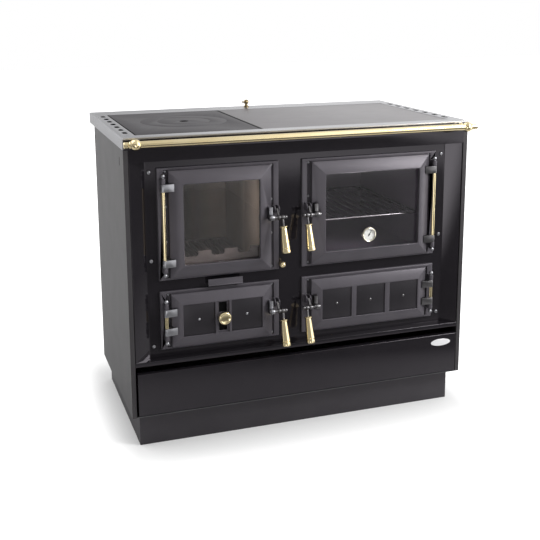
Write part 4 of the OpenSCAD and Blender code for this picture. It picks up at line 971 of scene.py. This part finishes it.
def make_shade_cups():
    low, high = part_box("top_frame")
    reach, top = high.x - SLOT_INSET, high.z - CUP_BELOW_TOP
    cup = cup_mesh()
    bm = bmesh.new()
    for side in (-1, 1):
        for index in range(SLOTS):
            spot = (side * reach, low.y + FIRST_SLOT + index * SLOT_PITCH, top - CUP_DEEP)
            add_copy(bm, cup, Matrix.Translation(spot))
    make_piece(bm, "air_slot_shade_cups", body_of["top_frame"], flat_black, "inner_sheet")


make_shade_cups()

# %% [markdown]
# ## Rope seals
# A twisted glass rope runs round the back of each door and is squeezed against the
# frame, so that no air gets past. It is a small ring of points extruded along each
# straight and spun round each corner. After four sides it meets its own start, and the
# doubles are removed.

# %% Ropes
ROPE_R, ROPE_IN, ROPE_CORNER = 3 * MM, 23.6 * MM, 9 * MM
RIM_DEPTH = 5 * MM
ROPE_SIDES, CORNER_STEPS = 10, 5


def rope_loop(width, height):
    bm = bmesh.new()
    facing_x = Matrix.Rotation(math.radians(90), 4, "Y")
    start = Matrix.Translation((ROPE_CORNER - width / 2, 0, -height / 2))
    bmesh.ops.create_circle(bm, segments=ROPE_SIDES, radius=ROPE_R, matrix=start @ facing_x)
    edges = bm.edges[:]
    heading = Vector((1, 0, 0))
    for side in range(4):
        straight = (width, height)[side % 2] - 2 * ROPE_CORNER
        drawn = draw_out(bm, edges, heading * straight)
        verts = only(bmesh.types.BMVert, drawn)
        edges = [edge for edge in only(bmesh.types.BMEdge, drawn)
            if all(vert in verts for vert in edge.verts)]
        inward = Vector((-heading.z, 0, heading.x))
        middle = sum((vert.co for vert in verts), Vector()) / len(verts)
        spun = bmesh.ops.spin(bm, geom=verts + edges, cent=middle + inward * ROPE_CORNER,
            axis=(0, -1, 0), dvec=(0, 0, 0), angle=math.pi / 2, steps=CORNER_STEPS)
        edges = only(bmesh.types.BMEdge, spun["geom_last"])
        heading = inward
    bmesh.ops.remove_doubles(bm, verts=bm.verts, dist=MERGE)
    bmesh.ops.recalc_face_normals(bm, faces=bm.faces)
    return bm


def make_rope(door):
    low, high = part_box(door)
    back = high.y - RIM_DEPTH
    middle = Vector(((low.x + high.x) / 2, back + ROPE_R, (low.z + high.z) / 2))
    bm = rope_loop(high.x - low.x - 2 * ROPE_IN, high.z - low.z - 2 * ROPE_IN)
    bmesh.ops.translate(bm, verts=bm.verts, vec=middle)
    make_piece(bm, door + "_rope", body_of[door], seal_rope, "firebrick")


for door in ("fire_door", "oven_door", "ash_door", "store_door"):
    make_rope(door)

# %% [markdown]
# ## Glass clips
# Four bent steel clips hold each pane from behind, each in the middle of a side. A clip
# is a line with one bend, drawn out to a strip and given its thickness.

# %% Clips
CLIP_W, CLIP_LEG, CLIP_T, CLIP_OFF_GLASS = 16 * MM, 6 * MM, 1 * MM, 0.6 * MM
CLIP_INSIDE = 6 * MM


def clip_mesh(out, depth):
    bm = bmesh.new()
    bend = [(out, depth), (out, CLIP_OFF_GLASS), (out - CLIP_LEG, CLIP_OFF_GLASS)]
    edges = line_of(bm, [(x, y, -CLIP_W / 2) for x, y in bend])[1]
    draw_out(bm, edges, (0, 0, CLIP_W))
    thicken(bm, CLIP_T)
    return mesh_of(bm, "clip")


def make_clips(door, pane):
    low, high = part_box(pane)
    middle = (low + high) / 2
    reach = (high - low) / 2
    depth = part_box(door)[1].y - CLIP_INSIDE - high.y
    bm = bmesh.new()
    for turn, out in ((0, reach.x), (90, reach.z), (180, reach.x), (270, reach.z)):
        spin = Matrix.Rotation(math.radians(-turn), 4, "Y")
        place = Matrix.Translation((middle.x, high.y, middle.z)) @ spin
        add_copy(bm, clip_mesh(out, depth), place)
    make_piece(bm, pane + "_clips", body_of[pane], hinge_steel, "hinge_steel")


make_clips("fire_door", "fire_door_glass")
make_clips("oven_door", "oven_door_glass")

# %% [markdown]
# ## What the camera sees of the floor
# The floor is a wide pale sheet that keeps the cooker's shadow. To the camera it also
# glows a little, so that open floor is as white as the backdrop. The glow is low close
# to the plinth and rises over a longer reach in front than at the sides: a painted
# shadow round the plinth, added to the real one. Only the camera's rays and those
# through glass see it, so it lights nothing.

# %% Glow of the open floor
NEAR_GLOW, OPEN_GLOW, GLOW_REACH, GLOW_SIDEWAYS = 0.14, 0.85, 0.34, 2.5


def seen_rays(tree, path):
    return calculate(tree, "MAXIMUM", path["Is Camera Ray"], path["Is Transmission Ray"])


def floor_glow(tree, part, path):
    low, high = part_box("plinth")
    away = []
    for axis, name in enumerate("XY"):
        centred = calculate(tree, "SUBTRACT", part[name], (low[axis] + high[axis]) / 2)
        outside = calculate(tree, "SUBTRACT", calculate(tree, "ABSOLUTE", centred, 0.0),
            (high[axis] - low[axis]) / 2)
        away.append(calculate(tree, "MAXIMUM", outside, 0.0))
    sideways = calculate(tree, "MULTIPLY", away[0], GLOW_SIDEWAYS)
    joined = add_node(tree, "ShaderNodeCombineXYZ", {"X": sideways, "Y": away[1]})
    distance = add_node(tree, "ShaderNodeVectorMath", {0: joined.outputs[0]}, operation="LENGTH")
    # Low glow near the plinth: a painted shadow.
    glow = ramp(tree, distance.outputs["Value"], 0.0, GLOW_REACH, NEAR_GLOW, OPEN_GLOW)
    return calculate(tree, "MULTIPLY", glow, seen_rays(tree, path))

# %% [markdown]
# ## Painted reflections on the floor
# Black enamel shows little but its reflections, and most of the front mirrors the floor
# before it. In gloss that floor is dimmed from a metre on, and three patches glow on it:
# a bright one far ahead, one to the right and one to the left. All of these are painted
# reflections, seen only by glossy rays. A patch is bounded by its direction, the slope
# X / |Y| seen from the cooker, and by how far in front it begins. All are fades, because
# the reflections are soft. The numbers of a fade are where it starts, where it ends, and
# its values at both.

# %% Painted reflections on the floor
def painted_reflection_fade(tree, part):
    near = ramp(tree, part["Y"], -1.1, -0.35, 0.0, 0.74)
    far = ramp(tree, part["Y"], -1.4, -2.6, 0.14, 0.22)
    return calculate(tree, "ADD", near, far)


def painted_reflection_patches(tree, part):
    slope = calculate(tree, "DIVIDE", part["X"], calculate(tree, "ABSOLUTE", part["Y"], 0.0))
    ahead_patch = calculate(tree, "MULTIPLY", ramp(tree, slope, 0.05, 0.35, 0.45, 1.3),
        ramp(tree, part["Y"], -3.4, -4.4))
    right = calculate(tree, "MULTIPLY", ramp(tree, slope, 1.9, 2.5, 0.0, 5.0),
        ramp(tree, part["Y"], -0.64, -0.85))
    left = calculate(tree, "MULTIPLY", ramp(tree, slope, -0.1, -0.28),
        ramp(tree, slope, -0.5, -0.75, 2.8, 0.0))
    left = calculate(tree, "MULTIPLY", left, ramp(tree, part["Y"], -1.2, -1.8))
    return calculate(tree, "MAXIMUM", ahead_patch, calculate(tree, "MAXIMUM", left, right))

# %% [markdown]
# ## Floor
# The floor's shader joins the two: its colour is the pale grey, dimmed for gloss, and
# its glow is what the camera sees plus the painted reflection patches for gloss. The
# sheet is staging, so it rides on no body.

# %% Floor material
FLOOR_GREY, FLOOR_ROUGHNESS, FLOOR_GLOSS = 0.64, 0.9, 0.1


def make_floor_material():
    material = bpy.data.materials.new("Pale floor")
    material.use_nodes = True
    tree = material.node_tree
    shader = tree.nodes["Principled BSDF"]
    place = add_node(tree, "ShaderNodeTexCoord").outputs["Object"]
    part = add_node(tree, "ShaderNodeSeparateXYZ", {"Vector": place}).outputs
    path = add_node(tree, "ShaderNodeLightPath").outputs
    pale = (FLOOR_GREY, FLOOR_GREY, FLOOR_GREY, 1.0)
    dimmed = blend_colours(tree, painted_reflection_fade(tree, part), BLACK, pale)
    colour = blend_colours(tree, path["Is Glossy Ray"], pale, dimmed)
    # Patches that only glossy rays see: painted reflections.
    painted_reflections = calculate(tree, "MULTIPLY", painted_reflection_patches(tree, part), path["Is Glossy Ray"])
    strength = calculate(tree, "ADD", floor_glow(tree, part, path), painted_reflections)
    tree.links.new(colour, shader.inputs["Base Color"])
    tree.links.new(strength, shader.inputs["Emission Strength"])
    shader.inputs["Emission Color"].default_value = WHITE
    shader.inputs["Roughness"].default_value = FLOOR_ROUGHNESS
    shader.inputs["Specular IOR Level"].default_value = FLOOR_GLOSS
    return material

# %% Floor sheet
FLOOR_REACH = 14.0


def make_floor():
    bm = bmesh.new()
    bmesh.ops.create_grid(bm, x_segments=1, y_segments=1, size=FLOOR_REACH)
    floor = bpy.data.objects.new("floor", mesh_of(bm, "floor"))
    bpy.context.scene.collection.objects.link(floor)
    floor.data.materials.append(make_floor_material())


make_floor()
print("floor reaches", FLOOR_REACH, "m each way")

# %% [markdown]
# ## The studio
# The backdrop is white to the camera and through glass. What brass, steel and enamel
# mirror is the room: behind the cooker it is bright, most of all to the left, and in
# front it is bright to the right and dim to the left. A ceiling and a wall at the far
# left add a little. The direction of a ray gives its place in that room, so a few fades
# over X, Y and Z paint it without any object.

# %% World
def room_light(tree, way):
    in_front = ramp(tree, way["X"], 0.15, 0.5, 0.35, 1.8)
    backdrop = calculate(tree, "MAXIMUM", ramp(tree, way["X"], 0.1, 0.38, 0.5, 1.0),
        ramp(tree, way["X"], 0.02, -0.2, 0.5, 2.0))
    behind = ramp(tree, way["Y"], -0.15, 0.25)
    before = calculate(tree, "SUBTRACT", 1.0, behind)
    walls = calculate(tree, "ADD", calculate(tree, "MULTIPLY", in_front, before),
        calculate(tree, "MULTIPLY", backdrop, behind))
    ceiling = ramp(tree, way["Z"], 0.3, 0.6, 0.0, 0.7)
    left_wall = ramp(tree, way["X"], -0.5, -0.9, 0.0, 0.35)
    return calculate(tree, "MAXIMUM", walls, calculate(tree, "MAXIMUM", ceiling, left_wall))


def make_world():
    world = bpy.data.worlds.new("Studio")
    bpy.context.scene.world = world
    world.use_nodes = True
    tree = world.node_tree
    ray = add_node(tree, "ShaderNodeTexCoord").outputs["Generated"]
    way = add_node(tree, "ShaderNodeSeparateXYZ", {"Vector": ray}).outputs
    path = add_node(tree, "ShaderNodeLightPath").outputs
    strength = calculate(tree, "MAXIMUM", room_light(tree, way), seen_rays(tree, path))
    background = tree.nodes["Background"]
    tree.links.new(strength, background.inputs["Strength"])
    background.inputs["Color"].default_value = WHITE


make_world()
print("world", bpy.context.scene.world.name)

# %% [markdown]
# ## One lamp
# The world gives most of the light. One square lamp, high at the right in front, adds
# the small highlights on screws, pins and rounded edges, and a soft shadow at the left.

# %% Key lamp
LAMP_PLACE, LAMP_SIZE, LAMP_POWER = (1.3, -1.3, 1.55), 0.6, 28.0


def make_lamp(target):
    data = bpy.data.lights.new("key", "AREA")
    data.shape = "SQUARE"
    data.size = LAMP_SIZE
    data.energy = LAMP_POWER
    lamp = bpy.data.objects.new("key", data)
    lamp.location = LAMP_PLACE
    lamp.rotation_euler = (target - Vector(LAMP_PLACE)).to_track_quat("-Z", "Y").to_euler()
    bpy.context.scene.collection.objects.link(lamp)


make_lamp((cad_box[0] + cad_box[1]) / 2)
print("lamp of", LAMP_POWER, "W")

# %% [markdown]
# ## Camera
# The camera stands left of the cooker, above its top, and looks slightly down. Its place
# was found from straight edges in the photograph and the usual height of a worktop. The
# frame is square, and a small shift lowers it under the camera's own axis, as when the
# top of a larger picture is cropped away.

# %% Camera
PHOTO_SIZE = 540
FOCAL_PX = 918
OPTICAL_AXIS_PX = 189
CAMERA_PLACE = (-0.879, -2.547, 1.188)
PITCH, YAW, ROLL = 11.65, 18.93, 0.26


def make_camera():
    data = bpy.data.cameras.new("photo view")
    data.sensor_width = 36.0
    data.lens = FOCAL_PX / PHOTO_SIZE * data.sensor_width
    data.shift_y = (OPTICAL_AXIS_PX - PHOTO_SIZE / 2) / PHOTO_SIZE
    data.clip_end = 60.0
    camera = bpy.data.objects.new("photo view", data)
    camera.location = CAMERA_PLACE
    camera.rotation_euler = (math.radians(90 - PITCH), math.radians(ROLL), math.radians(-YAW))
    bpy.context.scene.collection.objects.link(camera)
    bpy.context.scene.camera = camera


make_camera()
bpy.context.scene.view_settings.view_transform = "Standard"
print("camera at", CAMERA_PLACE)
